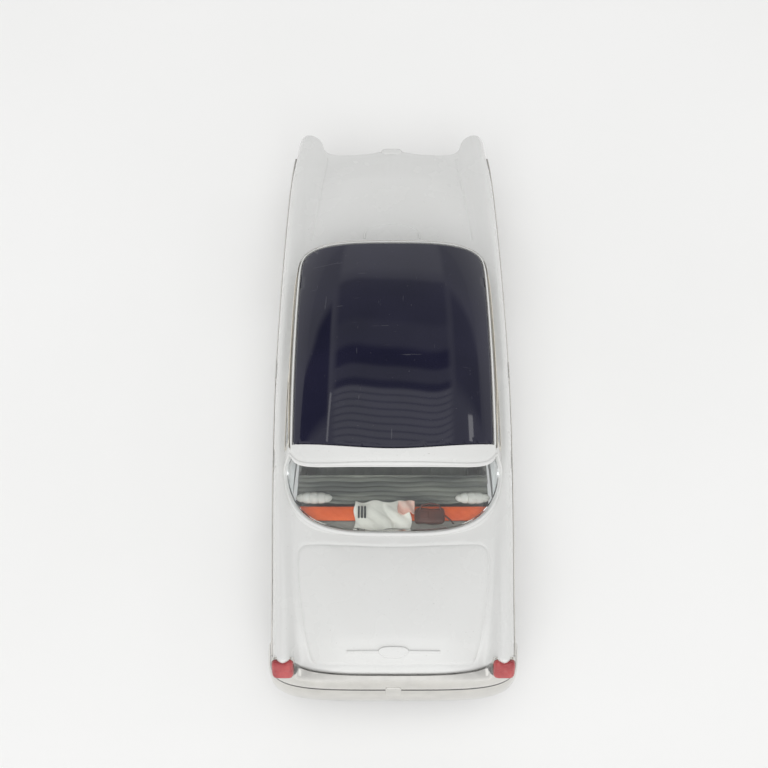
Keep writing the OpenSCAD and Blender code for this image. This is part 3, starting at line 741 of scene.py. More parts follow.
# Shut lines seen from above, as (x, y), and on the doors, as (z, y)
BONNET_SIDE = ((24.3, 93), (24.6, 88), (26.6, 71.5), (28.5, 53))
BOOT_SIDE = ((18, -62.7), (26, -62.3), (28.8, -63), (29.9, -65.6), (29.9, -71), (29.2, -78), (28, -86.3),
             (26.6, -93), (25.2, -97.2), (23.6, -98.4), (20, -98.9))
BOOT_FRONT = ((-18, -62.7), (0, -63.4), (18, -62.7))
BOOT_REAR = ((-20, -98.9), (0, -99.4), (20, -98.9))
AIR_INTAKE = ((-9.7, 53.4), (-8.4, 56.2), (-4.6, 58.2), (0, 58.8), (4.6, 58.2), (8.4, 56.2), (9.7, 53.4))
DECK_LINES = ([dense_line([(side * x, y) for x, y in line]) for side in SIDES.values()
               for line in (BONNET_SIDE, BOOT_SIDE)]
              + [dense_line(line) for line in (BOOT_FRONT, BOOT_REAR, AIR_INTAKE)])
DOOR_LINES = [dense_line([(11.5, 33), (14, 33.8), (28, 34), (38.5, 32.5)]),
              dense_line([(11.5, -2), (28, -2), (38.5, -2)]),
              dense_line([(24, -37.6), (28, -35.4), (33, -34.6), (38.5, -34.4)]),
              dense_line([(11.5, 33), (11.2, 30), (11.2, -2), (11.2, -33), (12.5, -36.4)])]
deck_line_distance = nearest_on(DECK_LINES)
door_line_distance = nearest_on(DOOR_LINES)
FAR = 9.0  # stands for a distance at which no line, opening or arch matters


def line_depth(d, depth=0.24, width=0.58):
    return depth * power(1 - min(1.0, d / width) ** 2, 2)


def line_distance(p, s):
    """Distance to the closest shut line at a point of the shell."""
    if abs(s) <= RIDGE_AT:
        return deck_line_distance(p.x, p.y) if p.y > 50 or p.y < -60 else FAR
    return door_line_distance(p.z, p.y) if p.z < 38.7 and -42 < p.y < 40 else FAR


def arch_distance(p):
    return min(math.hypot(p.y - y, p.z - TYRE_R) - ARCH_R for y in AXLE_Y.values())


def shell_keep(s, v):
    """Positive where the shell stays, negative in the cabin opening and the wheel arches."""
    if abs(s) <= DECK_END:
        x, _ = cross_section(abs(s), v)
        return plan_distance(BELT_PLAN, x, v) + 0.9
    return FAR if abs(s) <= RIDGE_AT else arch_distance(shell_point(s, v))


def shell_surface(s, v):
    """Shell with its shut lines, bonnet ridge and arch lips."""
    p = shell_point(s, v)
    step = 0.004 if s < 0.99 else -0.004
    across = shell_point(s + step, v) - p
    along = shell_point(s, v + (0.2 if v < 100 else -0.2)) - p
    normal = across.cross(along)
    if normal.length < 1e-9:
        return p
    normal.normalize()
    middle = Vector((0, p.y, 20))
    if normal.dot(p - middle) < 0:
        normal.negate()
    lift = -line_depth(line_distance(p, s))
    if abs(s) <= DECK_END and p.y > 56:
        lift += 0.4 * bump(p.x, 0, 1.9) * ease((p.y - 58) / 6) * ease((96 - p.y) / 3)
    if abs(s) > RIDGE_AT and p.z < 34:
        lift += 0.35 * bump(arch_distance(p), 0, 0.8)
    return p + normal * lift


# ---- Shell ----


def shell_columns():
    half = (spread(0, DECK_END, 32) + spread(DECK_END, RIDGE_AT, 7)[1:] + spread(RIDGE_AT, WIDE_AT, 16)[1:]
            + spread(WIDE_AT, 1, 18)[1:])
    return [-s for s in reversed(half[1:])] + half


def end_wall(end):
    """Front or rear wall of the shell, from the edge of the top sheet down to the sill."""
    columns = [s for s in shell_columns() if abs(s) <= WIDE_AT]
    bm = flat_pattern(columns, spread(0, 1, 18))
    w = station(end)[0]

    def wall(s, g):
        top = shell_point(s, end)
        z = blend(top.z, SILL_Z, g)
        draw = (w - TUCK * power((WIDE_Z - z) / (WIDE_Z - SILL_Z), 2.2)) / w
        return Vector((top.x * draw, top.y, z))

    if end > 0:
        def keep(s, g):
            p = wall(s, g)
            grille = rounded_box(p.x, p.z, -23.2, 23.2, 15, 32.6, 1.2)
            lamp = math.hypot(abs(p.x) - POD_X, p.z - HEAD_Z) - 4.5
            return min(grille, lamp if p.y > 97 else FAR)
        carve(bm, keep)
    form(bm, wall)
    return bm


def body_shell():
    rows = (spread(REAR_FACE, REAR_FACE + ROLL, 4) + spread(REAR_FACE + ROLL, POD_Y - ROLL, 200)[1:]
            + spread(POD_Y - ROLL, POD_Y, 4)[1:])
    top = flat_pattern(shell_columns(), rows)
    carve(top, shell_keep)

    def by_line(co):
        return line_distance(shell_point(co.x, co.y), co.x) < 1.3

    def close_by_line(co):
        return line_distance(shell_point(co.x, co.y), co.x) < 0.75
    refine(top, by_line, 1)
    refine(top, close_by_line, 1)
    form(top, shell_surface)
    bm = joined([top, end_wall(POD_Y), end_wall(REAR_FACE)])
    bmesh.ops.remove_doubles(bm, verts=bm.verts[:], dist=0.02)
    outward(bm)
    thicken(bm, 1.1)
    return bm


piece(body_shell(), "body_casting", PAINT, stands_for=("body_shell",))

# ---- Greenhouse ----

RIM = -0.12  # how far the greenhouse runs on below the belt, as a share of its height


def band_share(q, t):
    """Share of the window band's height at t on the greenhouse skin."""
    belt, edge, _ = rails(q)
    length = (edge - belt).length
    return t * (length - EDGE_BLEND) / length


def window_distance(window, q, t, grow=0.0, r=WINDOW_R):
    """Distance outside a window, in millimetres, negative inside it."""
    q0, q1, t0, t1 = window
    tall = (rails(q)[1] - rails(q)[0]).length
    return rounded_box(q * Q_LENGTH, t * tall, q0 * Q_LENGTH - grow, q1 * Q_LENGTH + grow,
                       t0 * tall - grow, t1 * tall + grow, r)


def same_side(q):
    """q counted both ways from the front, and q folded over to the right side."""
    return (q + 3) % 6 - 3, q if q <= 3 else 6 - q


def greenhouse_keep(q, t):
    if t > 1:
        return FAR
    from_front, from_side = same_side(q)
    share = band_share(q, t)
    return min(window_distance(WINDSCREEN, from_front, share),
               window_distance(REAR_WINDOW, q, share, 0, REAR_WINDOW_R),
               window_distance(FRONT_DOOR_WINDOW, from_side, share),
               window_distance(REAR_DOOR_WINDOW, from_side, share))


def greenhouse():
    rows = [RIM] + spread(0, 1, 24) + spread(1, 2, 7)[1:] + spread(2, 3, 3)[1:] + spread(3, 4, 2)[1:]
    bm = flat_pattern(spread(0, 6, 330), rows)
    carve(bm, greenhouse_keep)
    form(bm, hoop_point)
    bmesh.ops.remove_doubles(bm, verts=bm.verts[:], dist=0.01)
    outward(bm, (0, -8, 40))
    thicken(bm, 1.0)
    return bm


piece(greenhouse(), "greenhouse_casting", PAINT)


def panel_distance(x, y):
    """Distance outside the roof panel's outline, negative inside it."""
    return max(plan_distance(PANEL_PLAN, x, y), 0.95 * (panel_rear(x) - y))


def roof_panel():
    """Inset roof, a smooth slab whose edge is rounded over."""
    bm = flat_pattern(spread(-33, 33, 82), spread(-40, 39, 98))
    gap = 0.32
    carve(bm, lambda x, y: -panel_distance(x, y) - gap)
    refine(bm, lambda co: panel_distance(co.x, co.y) > -1.4, 2)

    def crown(x, y):
        inside = max(0.0, -panel_distance(x, y) - gap)
        edge = 0.55
        roll = edge - math.sqrt(max(0.0, edge ** 2 - max(0.0, edge - inside) ** 2))
        return Vector((x, y, roof_at(x, y) - roll - 0.02))
    form(bm, crown)
    outward(bm, (0, 0, 30))
    thicken(bm, 0.9)
    return bm


piece(roof_panel(), "roof_insert", ROOF, stands_for=("roof_panel",), sharp=40)


def sunk(q, t, depth):
    return band(q, t) - band_normal(q, t) * depth


def glazing(window, shrink, depth, wall, columns, mirror=False, r=WINDOW_R):
    """Window moulding that fills an opening, drawn in from its edge and sunk below the skin."""
    q0, q1, t0, t1 = window
    bm = flat_pattern(spread(q0, q1, columns), spread(t0, t1, 26))
    carve(bm, lambda q, t: -window_distance(window, q, t, -shrink, r))
    form(bm, lambda q, t: sunk(q, t, depth))
    outward(bm, (0, -8, 40))
    thicken(bm, wall)
    return flipped(bm) if mirror else bm


piece(glazing(REAR_WINDOW, 0.5, 0.55, 0.9, 110, r=3), "rear_window", CLEAR, stands_for=("rear_glass",))
piece(glazing(WINDSCREEN, 0.12, 0.5, 0.9, 70), "windscreen", CLEAR, stands_for=("windscreen_glass",))
for hand in SIDES:
    panes = [glazing(w, 0.12, 0.5, 0.8, 40, hand == "left") for w in (FRONT_DOOR_WINDOW, REAR_DOOR_WINDOW)]
    piece(joined(panes), hand + "_door_windows", CLEAR, stands_for=(hand + "_side_glass",))


def window_rim(window, inner, outer, height, r, steps=150):
    """Rounded bead round a window opening; inner and outer are its edges' distances from the opening."""
    q0, q1, t0, t1 = window

    def loop(grow, a):
        """Place on the opening's outline grown by some millimetres, at share a of the way round."""
        mid_q, mid_t = (q0 + q1) / 2, (t0 + t1) / 2
        tall = (rails(mid_q)[1] - rails(mid_q)[0]).length
        half_u, half_v = (q1 - q0) / 2 * Q_LENGTH + grow, (t1 - t0) / 2 * tall + grow
        radius = max(0.3, r + grow)
        straight = (2 * (half_u - radius), 2 * (half_v - radius))
        arc = radius * math.pi / 2
        total = 2 * sum(straight) + 4 * arc
        run = a * total
        corners = ((1, -1), (1, 1), (-1, 1), (-1, -1))
        u, v = -(half_u - radius), -half_v
        headings = ((1, 0), (0, 1), (-1, 0), (0, -1))
        for k in range(4):
            length = straight[k % 2]
            du, dv = headings[k]
            if run <= length:
                return mid_q + (u + du * run) / Q_LENGTH, mid_t + (v + dv * run) / tall
            run -= length
            cu, cv = corners[k][0] * (half_u - radius), corners[k][1] * (half_v - radius)
            if run <= arc:
                turn = -math.pi / 2 + k * math.pi / 2 + run / radius
                return (mid_q + (cu + radius * math.cos(turn)) / Q_LENGTH,
                        mid_t + (cv + radius * math.sin(turn)) / tall)
            run -= arc
            turn = k * math.pi / 2
            u, v = cu + radius * math.cos(turn), cv + radius * math.sin(turn)
        return mid_q + u / Q_LENGTH, mid_t + v / tall

    ring = [(0, -0.5), (0, 0.1), (0.1, 0.6), (0.3, 0.92), (0.5, 1), (0.7, 0.92), (0.9, 0.6), (1, 0.1),
            (1, -0.5)]
    bm = flat_pattern(spread(0, 1, steps), spread(0, 1, len(ring)))
    for v in bm.verts:
        c = ring[round(v.co.y * len(ring)) % len(ring)]
        q, t = loop(blend(inner, outer, c[0]), v.co.x % 1.0)
        v.co = band(q, t) + band_normal(q, t) * height * c[1]
    bmesh.ops.remove_doubles(bm, verts=bm.verts[:], dist=0.001)
    bmesh.ops.recalc_face_normals(bm, faces=bm.faces[:])
    return bm


piece(window_rim(REAR_WINDOW, 0.0, 1.35, 0.5, REAR_WINDOW_R, 220), "rear_window_rim", PAINT,
      stands_for=("rear_window_trim",))
piece(window_rim(WINDSCREEN, 0.0, 0.9, 0.4, WINDOW_R), "windscreen_rim", CHROME,
      stands_for=("windscreen_trim",))


def gutter(hand):
    """Drip rail over the door windows, and the bright frames round them."""
    side = SIDES[hand]
    qs = spread(0.57, 2.14, 60)
    ring = ((0.0, 0.93), (0.55, 0.935), (0.75, 0.95), (0.6, 0.965), (0.35, 0.96), (0.3, 0.975), (0.0, 0.985))
    path = []
    for k, q in enumerate(qs):
        fade = min(1.0, 5 * min(k, len(qs) - 1 - k) / (len(qs) - 1) + 0.15)

        def place(c, q=q, fade=fade):
            p = band(q, c[1]) + band_normal(q, c[1]) * (c[0] * fade)
            return Vector((side * p.x, p.y, p.z))
        path.append(place)
    parts = [closed_sweep(path, ring)]
    for window in (FRONT_DOOR_WINDOW, REAR_DOOR_WINDOW):
        rim = window_rim(window, -0.1, 0.5, 0.22, WINDOW_R, 90)
        parts.append(flipped(rim) if side < 0 else rim)
    return joined(parts)


for hand in SIDES:
    piece(gutter(hand), hand + "_gutter", WARM_PLATE, stands_for=(hand + "_drip_rail",))

# ---- Bumpers ----


def wrapped(side, half, middle, reach, squareness, inner_lip=None, n=160):
    """Frames round one end of the car for a profile of (outwards, upwards) points.

    A third number in a profile point draws it towards the inner lip, by that share.
    """
    path = []
    for k in range(n + 1):
        ux, uy = squircle(math.pi * k / n, squareness)
        uy = abs(uy)
        x, y = half * ux, middle + reach * uy
        nx = math.copysign(power(abs(ux), squareness - 1), ux) / half
        ny = power(uy, squareness - 1) / reach
        size = math.hypot(nx, ny)

        def place(c, x=x, y=y, nx=nx / size, ny=ny / size):
            p = Vector((x + c[0] * (c[0] > 0 or 0.3) * nx, side * (y + c[0] * ny), c[1]))
            return p.lerp(inner_lip(p), c[2]) if len(c) > 2 and inner_lip else p
        path.append(place)
    return path


def rear_lip(p):
    """Where the rear bumper's top meets the shell, close behind it and under the tail lamps."""
    if p.y > -95:
        return p
    share = ease((-95 - p.y) / 5)
    under_lamp = ease((abs(p.x) - 28.6) / 1.6)
    y = blend(tail_y(p.x) - 0.75, -101.6, under_lamp)
    return p.lerp(Vector((p.x, y, blend(32.3, 31.7, under_lamp))), share)


BAR_DEPTH = 1.1  # from a bumper's middle line out to its face
# A bumper's end in plan: half width, where it starts, and squareness
REAR_END = (38.4, 91, 4.3)
FRONT_END = (37.3, 88, 5.6)
REAR_BAR = ((-0.7, 10.9), (0.0, 10.85), (0.5, 11.6), (0.85, 13.4), (1.05, 16), (1.05, 19), (0.9, 21.6),
            (0.62, 23.3), (0.3, 23.9), (0.1, 24.2), (0.06, 24.7), (0.3, 25.0), (0.55, 25.6), (0.55, 26.9),
            (0.4, 28.3), (0.1, 29.4), (-0.25, 30.1), (-0.55, 30.55, 0.3), (-0.8, 30.9, 0.75),
            (-1.0, 31, 1.0), (-1.1, 30.6, 0.96), (-1.0, 29.6, 0.5), (-0.8, 27.6), (-0.7, 24), (-0.7, 18))
FRONT_BAR = ((-0.7, 10.7), (0.1, 10.65), (0.6, 11.3), (0.95, 13), (1.08, 15.4), (1.08, 17.6), (0.9, 20),
             (0.5, 21.8), (0, 22.5), (-0.5, 22.5), (-0.7, 22))


def round_end(side, end, ring, lip=None):
    """Ring swept round one end of the car."""
    half, middle, squareness = end
    return closed_sweep(wrapped(side, half, middle, END_Y - BAR_DEPTH - middle, squareness, lip), ring)


def bumper(side, end, ring, stays, lip=None):
    """Bar with the two round stays behind it; stays are their start, height and length."""
    parts = [round_end(side, end, ring, lip)]
    y, z, length = stays
    for x in (-20, 20):
        line = [(x, side * (y + part), z) for part in (0, length / 2, length)]
        parts.append(pipe(line, 1.2))
    return joined(parts)


# Black ring set in the groove along the rear bumper's face: painted shade standing in for the dark shadow gap
# there.
BUMPER_SHADE_RING = ((-0.3, 23.9), (0.3, 23.95), (0.46, 24.1), (0.46, 24.85), (0.3, 25.05), (-0.3, 25.1))

piece(bumper(-1, REAR_END, REAR_BAR, (101, 16, 2.2), rear_lip), "rear_bumper_bar", CHROME,
      stands_for=("rear_bumper",))
# Black strip along the rear bumper: painted shade for the shadow gap, not a part of the car.
piece(round_end(-1, REAR_END, BUMPER_SHADE_RING), "rear_bumper_shade_strip", BLACK)
piece(bumper(1, FRONT_END, FRONT_BAR, (95.5, 19, 7.8)), "front_bumper_bar", CHROME,
      stands_for=("front_bumper",))
piece(block((-2.5, -104.9, 14), (2.5, -103.3, 27.6), 0.55, 4), "number_plate_guard", CHROME,
      stands_for=("rear_plate_guard",))

# ---- Lamps ----


def lamp_outline(n, notch=0.0):
    """Closed outline in a unit square, with a shallow notch in its top."""
    ring = []
    for k in range(n):
        c, s = squircle(2 * math.pi * k / n, 4.5)
        ring.append((c, s - notch * max(0.0, s) * bump(c, 0, 0.55)))
    return ring


SLOPE = math.atan2(6.2, 3.8)  # how steeply the tail lamps lean back
ALONG_LAMP = Vector((0, math.cos(SLOPE), math.sin(SLOPE)))
PROUD_OF_LAMP = Vector((0, -math.sin(SLOPE), math.cos(SLOPE)))
LENS_Z, LENS_Y = 34.8, -100.6
LENS_HALF_X, LENS_HALF_B = 3.3, 3.55
LENS_DOME = ((0.99, -1.5), (1.0, -0.7), (1.0, -0.1), (0.97, 0.25), (0.9, 0.5), (0.8, 0.68), (0.62, 0.8),
             (0.42, 0.86), (0.2, 0.88), (0.06, 0.88))  # (share of the outline, how far proud)
LENS_RIB, LENS_RIB_PITCH = 0.07, 0.75


def on_lamp(side, c, half_x, half_b, out):
    """Point on a tail lamp's leaning face: c is in the unit square, out is how far it stands proud."""
    foot = Vector((side * LAMP_X + c[0] * half_x, LENS_Y, LENS_Z))
    return foot + ALONG_LAMP * (c[1] * half_b) + PROUD_OF_LAMP * out


def tail_lens(side):
    """Domed lens with fine ribs across its face."""
    ring = lamp_outline(48, 0.3)
    path = [lambda c, m=m, out=out: on_lamp(side, (c[0] * m, c[1] * m), LENS_HALF_X, LENS_HALF_B, out)
            for m, out in LENS_DOME]
    bm = closed_sweep(path, ring)
    bmesh.ops.subdivide_edges(bm, edges=bm.edges[:], cuts=1, use_grid_fill=True)
    middle = Vector((side * LAMP_X, LENS_Y, LENS_Z))
    for v in bm.verts:
        if (v.co - middle).dot(PROUD_OF_LAMP) > 0.2:
            turn = 2 * math.pi * (v.co - middle).dot(ALONG_LAMP) / LENS_RIB_PITCH
            v.co += PROUD_OF_LAMP * LENS_RIB * math.cos(turn)
    return bm


def tail_bowl(side):
    """Bright bowl that a tail lamp's lens is set in, running back to the fin."""
    ring = lamp_outline(48, 0.12)

    def root(c):
        return Vector((side * LAMP_X + c[0] * 3.5, -97.6, 34.2 + c[1] * 3.6))
    path = [root]
    for half_x, half_b, out in ((3.5, 3.7, -1.2), (3.5, 3.72, -0.75), (3.42, 3.65, -0.6), (3.3, 3.5, -0.7),
                                (0.4, 0.4, -0.8)):
        path.append(lambda c, a=half_x, b=half_b, h=out: on_lamp(side, c, a, b, h))
    return closed_sweep(path, ring)


for hand, side in SIDES.items():
    piece(tail_lens(side), hand + "_tail_lamp_lens", RUBY, stands_for=(hand + "_tail_lens",),
          sharp=60)
    piece(tail_bowl(side), hand + "_tail_lamp_bowl", CHROME, stands_for=(hand + "_tail_lamp_housing",),
          sharp=50)

# ---- Small bright work ----


def on_deck(x, y, lift):
    """Point over the bonnet or boot lid."""
    _, _, _, vx, vz, dz = station(y)
    return Vector((x, y, dz + (vz - dz) * ease(power(abs(x) / vx, 2.2)) + lift))


def boot_bar():
    """Slim bar across the boot lid, with a blank shield under its middle."""
    bar = pipe([on_deck(x, -95.8, 0.12) for x in spread(-14.2, 14.2, 30)], 0.42)
    shield = bmesh.new()
    bmesh.ops.create_circle(shield, cap_ends=True, segments=40, radius=1)
    for v in shield.verts:
        turn = math.atan2(v.co.y, v.co.x)
        c, s = squircle(turn, 3)
        narrow = 1 - 0.3 * max(0.0, -s)
        v.co = on_deck(4.6 * c * narrow, -96.1 + 1.5 * s, 0.0)
    grown = bmesh.ops.extrude_face_region(shield, geom=shield.faces[:])
    bmesh.ops.translate(shield, vec=(0, 0, 0.75),
                        verts=[v for v in grown["geom"] if isinstance(v, bmesh.types.BMVert)])
    bmesh.ops.recalc_face_normals(shield, faces=shield.faces[:])
    rim = [e for e in shield.edges if e.verts[0].co.z > on_deck(*e.verts[0].co.xy, 0.6).z
           and e.verts[1].co.z > on_deck(*e.verts[1].co.xy, 0.6).z and not e.is_boundary]
    bmesh.ops.bevel(shield, geom=rim, offset=0.3, segments=4, profile=0.5, affect="EDGES", material=-1)
    return joined([bar, shield])


piece(boot_bar(), "boot_handle_bar", PAINT, stands_for=("boot_trim_bar",))


def crest():
    """Blank badge at the nose, narrower at its foot."""
    ring = lamp_outline(32)
    path = []
    for y, m in ((94.4, 0.7), (95.2, 0.95), (96.6, 1.0), (97.3, 0.85), (97.6, 0.5)):
        def place(c, y=y, m=m):
            return Vector((3.9 * c[0] * m * (1 - 0.35 * max(0, -c[1])), y, 34.9 + 1.3 * c[1] * m))
        path.append(place)
    return closed_sweep(path, ring)


piece(crest(), "bonnet_badge", PAINT, stands_for=("bonnet_crest",), sharp=60)


STRIP_Z = 33.4
STRIP_FRONT = 94.5


def side_strip(side):
    """Half-round strip along the shoulder, finer towards the front."""
    ring = ((-0.3, -0.5), (0.15, -0.48), (0.34, -0.25), (0.4, 0), (0.34, 0.25), (0.15, 0.48), (-0.3, 0.5))
    path = []
    for y in spread(-96, STRIP_FRONT, 130):
        fine = min(1.0, 0.25 + (STRIP_FRONT - y) / 30)

        def place(c, y=y, fine=fine):
            z = STRIP_Z + c[1] * fine
            return Vector((side * (shoulder_x(y, z) + c[0]), y, z))
        path.append(place)
    return closed_sweep(path, ring)


for hand, side in SIDES.items():
    piece(side_strip(side), hand + "_side_strip", CHROME, stands_for=(hand + "_side_trim",))


def wiper_pivots():
    parts = []
    for x in (-9.8, 9.8):
        parts.append(pipe([on_deck(x, 52.4, 0.05), on_deck(x, 53.6, 0.1), on_deck(x, 54.8, 0.05)], 0.3))
    return joined(parts)


piece(wiper_pivots(), "wiper_pivots", PAINT)

# ---- Interior ----


def pleated(low, high, edge, pitch, depth, lean=0.0):
    """Padded block with upright pleats across its width; lean draws its top back."""
    bm = block(low, high, edge, 4)
    columns = int((high[0] - low[0]) / 0.45)
    for k in range(1, columns):
        x = blend(low[0], high[0], k / columns)
        bmesh.ops.bisect_plane(bm, geom=bm.verts[:] + bm.edges[:] + bm.faces[:], plane_co=(x, 0, 0),
                               plane_no=(1, 0, 0))
    centre = (Vector(low) + Vector(high)) / 2
    height = high[2] - low[2]
    for v in bm.verts:
        draw = depth * abs(math.sin(math.pi * (v.co.x - low[0]) / pitch)) ** 0.6 - depth
        out = Vector((0, v.co.y - centre.y, v.co.z - centre.z))
        if out.length > 0.01:
            v.co += out.normalized() * draw
        v.co.y -= lean * (v.co.z - low[2]) / height
    return bm


def rear_bench():
    cushion = pleated((-25.5, -37, 14), (25.5, -19, 24), 1.6, 3.2, 0.45)
    back = pleated((-28.5, -38.5, 22), (28.5, -34.5, 36.6), 1.3, 3.2, 0.45, 6.6)
    return joined([cushion, back])


def front_bench():
    cushion = pleated((-28, 0, 14), (28, 17, 23.5), 1.6, 3.2, 0.45)
    back = pleated((-28, -2.6, 21), (28, 2.4, 38.5), 1.5, 3.2, 0.45, 2.2)
    return joined([cushion, back])


def seat_roll(y, z, start, stop, radius, tilt=0.0):
    """Plump roll along the top of a seat back, gathered into pleats."""
    path = []
    middle, half = (start + stop) / 2, (stop - start) / 2
    for x in spread(start, stop, int(half * 12)):
        end = power(1 - min(1.0, abs(x - middle) / half) ** (half / 2.5), 0.5)
        pleat = 1 - 0.2 * (1 - abs(math.sin(math.pi * x / 2.4)) ** 0.5)
        r = radius * max(0.15, end) * pleat
        rise = tilt * ease((abs(x) - 19) / 8)
        path.append(lambda c, x=x, r=r, h=rise: Vector((x, y + 1.25 * r * c[0] + h, z + r * c[1])))
    ring = [(math.cos(2 * math.pi * k / 20), math.sin(2 * math.pi * k / 20)) for k in range(20)]
    return closed_sweep(path, ring)


piece(rear_bench(), "rear_bench", GREY_VINYL, stands_for=("rear_seat",), sharp=50)
piece(front_bench(), "front_bench", GREY_VINYL, stands_for=("front_seat",), sharp=50)


def seat_top():
    """Ribbed top of the rear seat's back, which runs back to the parcel shelf."""
    bm = flat_pattern(spread(-30.5, 30.5, 60), spread(-47.4, -37.4, 60))

    def ribbed(x, y):
        clear_of_roll = 0.9 * ease((abs(x) - 17) / 9) * ease((-43 - y) / 3)
        rib = 0.22 * abs(math.sin(math.pi * (y + 0.2 * math.sin(0.4 * x)) / 1.65))
        return Vector((x, y + clear_of_roll, 37.7 + rib))
    form(bm, ribbed)
    outward(bm, (0, 0, 10))
    thicken(bm, 0.7)
    return bm


REAR_ROLLS = [seat_roll(-45.7, 38.5, start, stop, 1.6) for start, stop in ((-31, -19.4), (20, 31))]
piece(joined(REAR_ROLLS), "rear_seat_rolls", PALE_VINYL, sharp=60)
piece(seat_top(), "rear_seat_top", OLIVE_VINYL, sharp=60)
piece(seat_roll(-1.6, 38.6, -28, 28, 1.3), "front_seat_roll", PALE_VINYL, sharp=60)


def shelf(y_front, y_rear, top, crown):
    """Strip of the parcel shelf that fills the width of the rear window's foot."""
    bm = flat_pattern(spread(-34, 34, 90), spread(y_rear, y_front, 16))
    carve(bm, lambda x, y: -plan_distance(BELT_PLAN, x, y) - 1.6)
    middle, half = (y_front + y_rear) / 2, (y_front - y_rear) / 2
    form(bm, lambda x, y: Vector((x, y, top + crown * (1 - ((y - middle) / half) ** 4)
                                  + 0.05 * math.sin(x * 1.9) * math.sin(y * 2.3))))
    outward(bm, (0, 0, 10))
    thicken(bm, 0.8)
    return bm


piece(shelf(-48.6, -53.4, 38.3, 0.35), "shelf_front", ORANGE_VINYL, stands_for=("parcel_shelf",))
piece(shelf(-53.5, -57.4, 38.0, 0.1), "shelf_back", SHELF_CARD)


def folded_wrap():
    """Crumpled wrap lying on the shelf."""
    bm = flat_pattern(spread(-12.2, 5.6, 72), spread(-56.6, -47.3, 44))

    def drape(x, y):
        crease = (0.34 * math.sin(0.9 * x + 0.5 * y) * math.sin(0.45 * y + 0.3 * x + 1)
                  + 0.2 * abs(math.sin(0.5 * (x + 1.4 * y))) - 0.25 * bump(x + 0.5 * y, -27.5, 0.7))
        ragged = (0.4 * math.sin(0.8 * x) * ease((y + 50) / 2)
                  + 0.3 * math.sin(0.5 * x + 1) * ease((-54 - y) / 2))
        return Vector((x + 0.35 * math.sin(0.9 * y), y + ragged, 39.3 + crease + 0.5 * bump(y, -50.5, 2.4)))
    form(bm, drape)
    outward(bm, (0, -52, 20))
    thicken(bm, 0.45)
    return bm


def wrap_stripes():
    """Three dark bands woven into the end of the wrap."""
    parts = []
    for x in (-10.9, -9.9, -8.9):
        line = [(x, y, 40.0 + 0.34 * bump(y, -50.5, 2.4)) for y in (-49.3, -50.6, -51.9, -53.2)]
        parts.append(pipe(line, 0.3))
    return joined(parts)


def pink_fold():
    """Corner of a second, pink cloth that shows from under the wrap."""
    bm = flat_pattern(spread(1.6, 6.8, 20), spread(-51.6, -47.4, 16))
    form(bm, lambda x, y: Vector((x, y + 0.3 * math.sin(1.5 * x), 40.3 + 0.35 * math.sin(1.6 * x + y))))
    outward(bm, (0, -50, 20))
    thicken(bm, 0.4)
    return bm


def shelf_bag():
    """Small bag lying on the shelf, with a strap, a loose end and a flap."""
    bag = block((6.8, -55.2, 38.8), (16.4, -50.0, 41.2), 1.2, 4)
    bmesh.ops.subdivide_edges(bag, edges=bag.edges[:], cuts=3, use_grid_fill=True)
    for v in bag.verts:
        v.co.z += 0.25 * math.sin(0.8 * v.co.x) - 0.12 * ((v.co.x - 11.8) / 5.4) ** 2
        v.co.y += 0.2 * math.sin(0.9 * v.co.x)
    strap = pipe([(8.2, -51.0, 41.0), (9.0, -49.4, 41.3), (12.0, -48.7, 41.4), (14.6, -49.3, 41.3),
                  (15.4, -51.0, 41.0)], 0.28, 8)
    tail = pipe([(16.0, -52.0, 40.2), (17.6, -53.2, 39.6), (19.2, -55.0, 39.4)], 0.24, 8)
    flap = block((8.4, -54.2, 41.0), (11.4, -51.4, 41.7), 0.25, 2)
    return joined([bag, strap, tail, flap])


piece(pink_fold(), "shelf_pink_cloth", PINK_CARD, sharp=70)
piece(folded_wrap(), "shelf_wrap", CLOTH_WHITE, sharp=70)
piece(wrap_stripes(), "shelf_wrap_bands", BLACK)
piece(shelf_bag(), "shelf_bag", BAG_BROWN, sharp=50)

# ---- Door handles ----


PULL_Z = 36.2
PULL_HALF = 3.2


def door_pulls():
    """Slim handles that lie close against the doors."""
    parts = []
    for side in SIDES.values():
        for middle in (2, -31):
            line = [(side * (shoulder_x(y, PULL_Z) + 0.08), y, PULL_Z)
                    for y in spread(middle - PULL_HALF, middle + PULL_HALF, 8)]
            parts.append(pipe(line, 0.42, 12))
    return joined(parts)


piece(door_pulls(), "door_pulls", SATIN_PLATE, stands_for=("door_handles",))

# ---- Wheels ----

WHEEL_STEPS = 96  # flats round a wheel


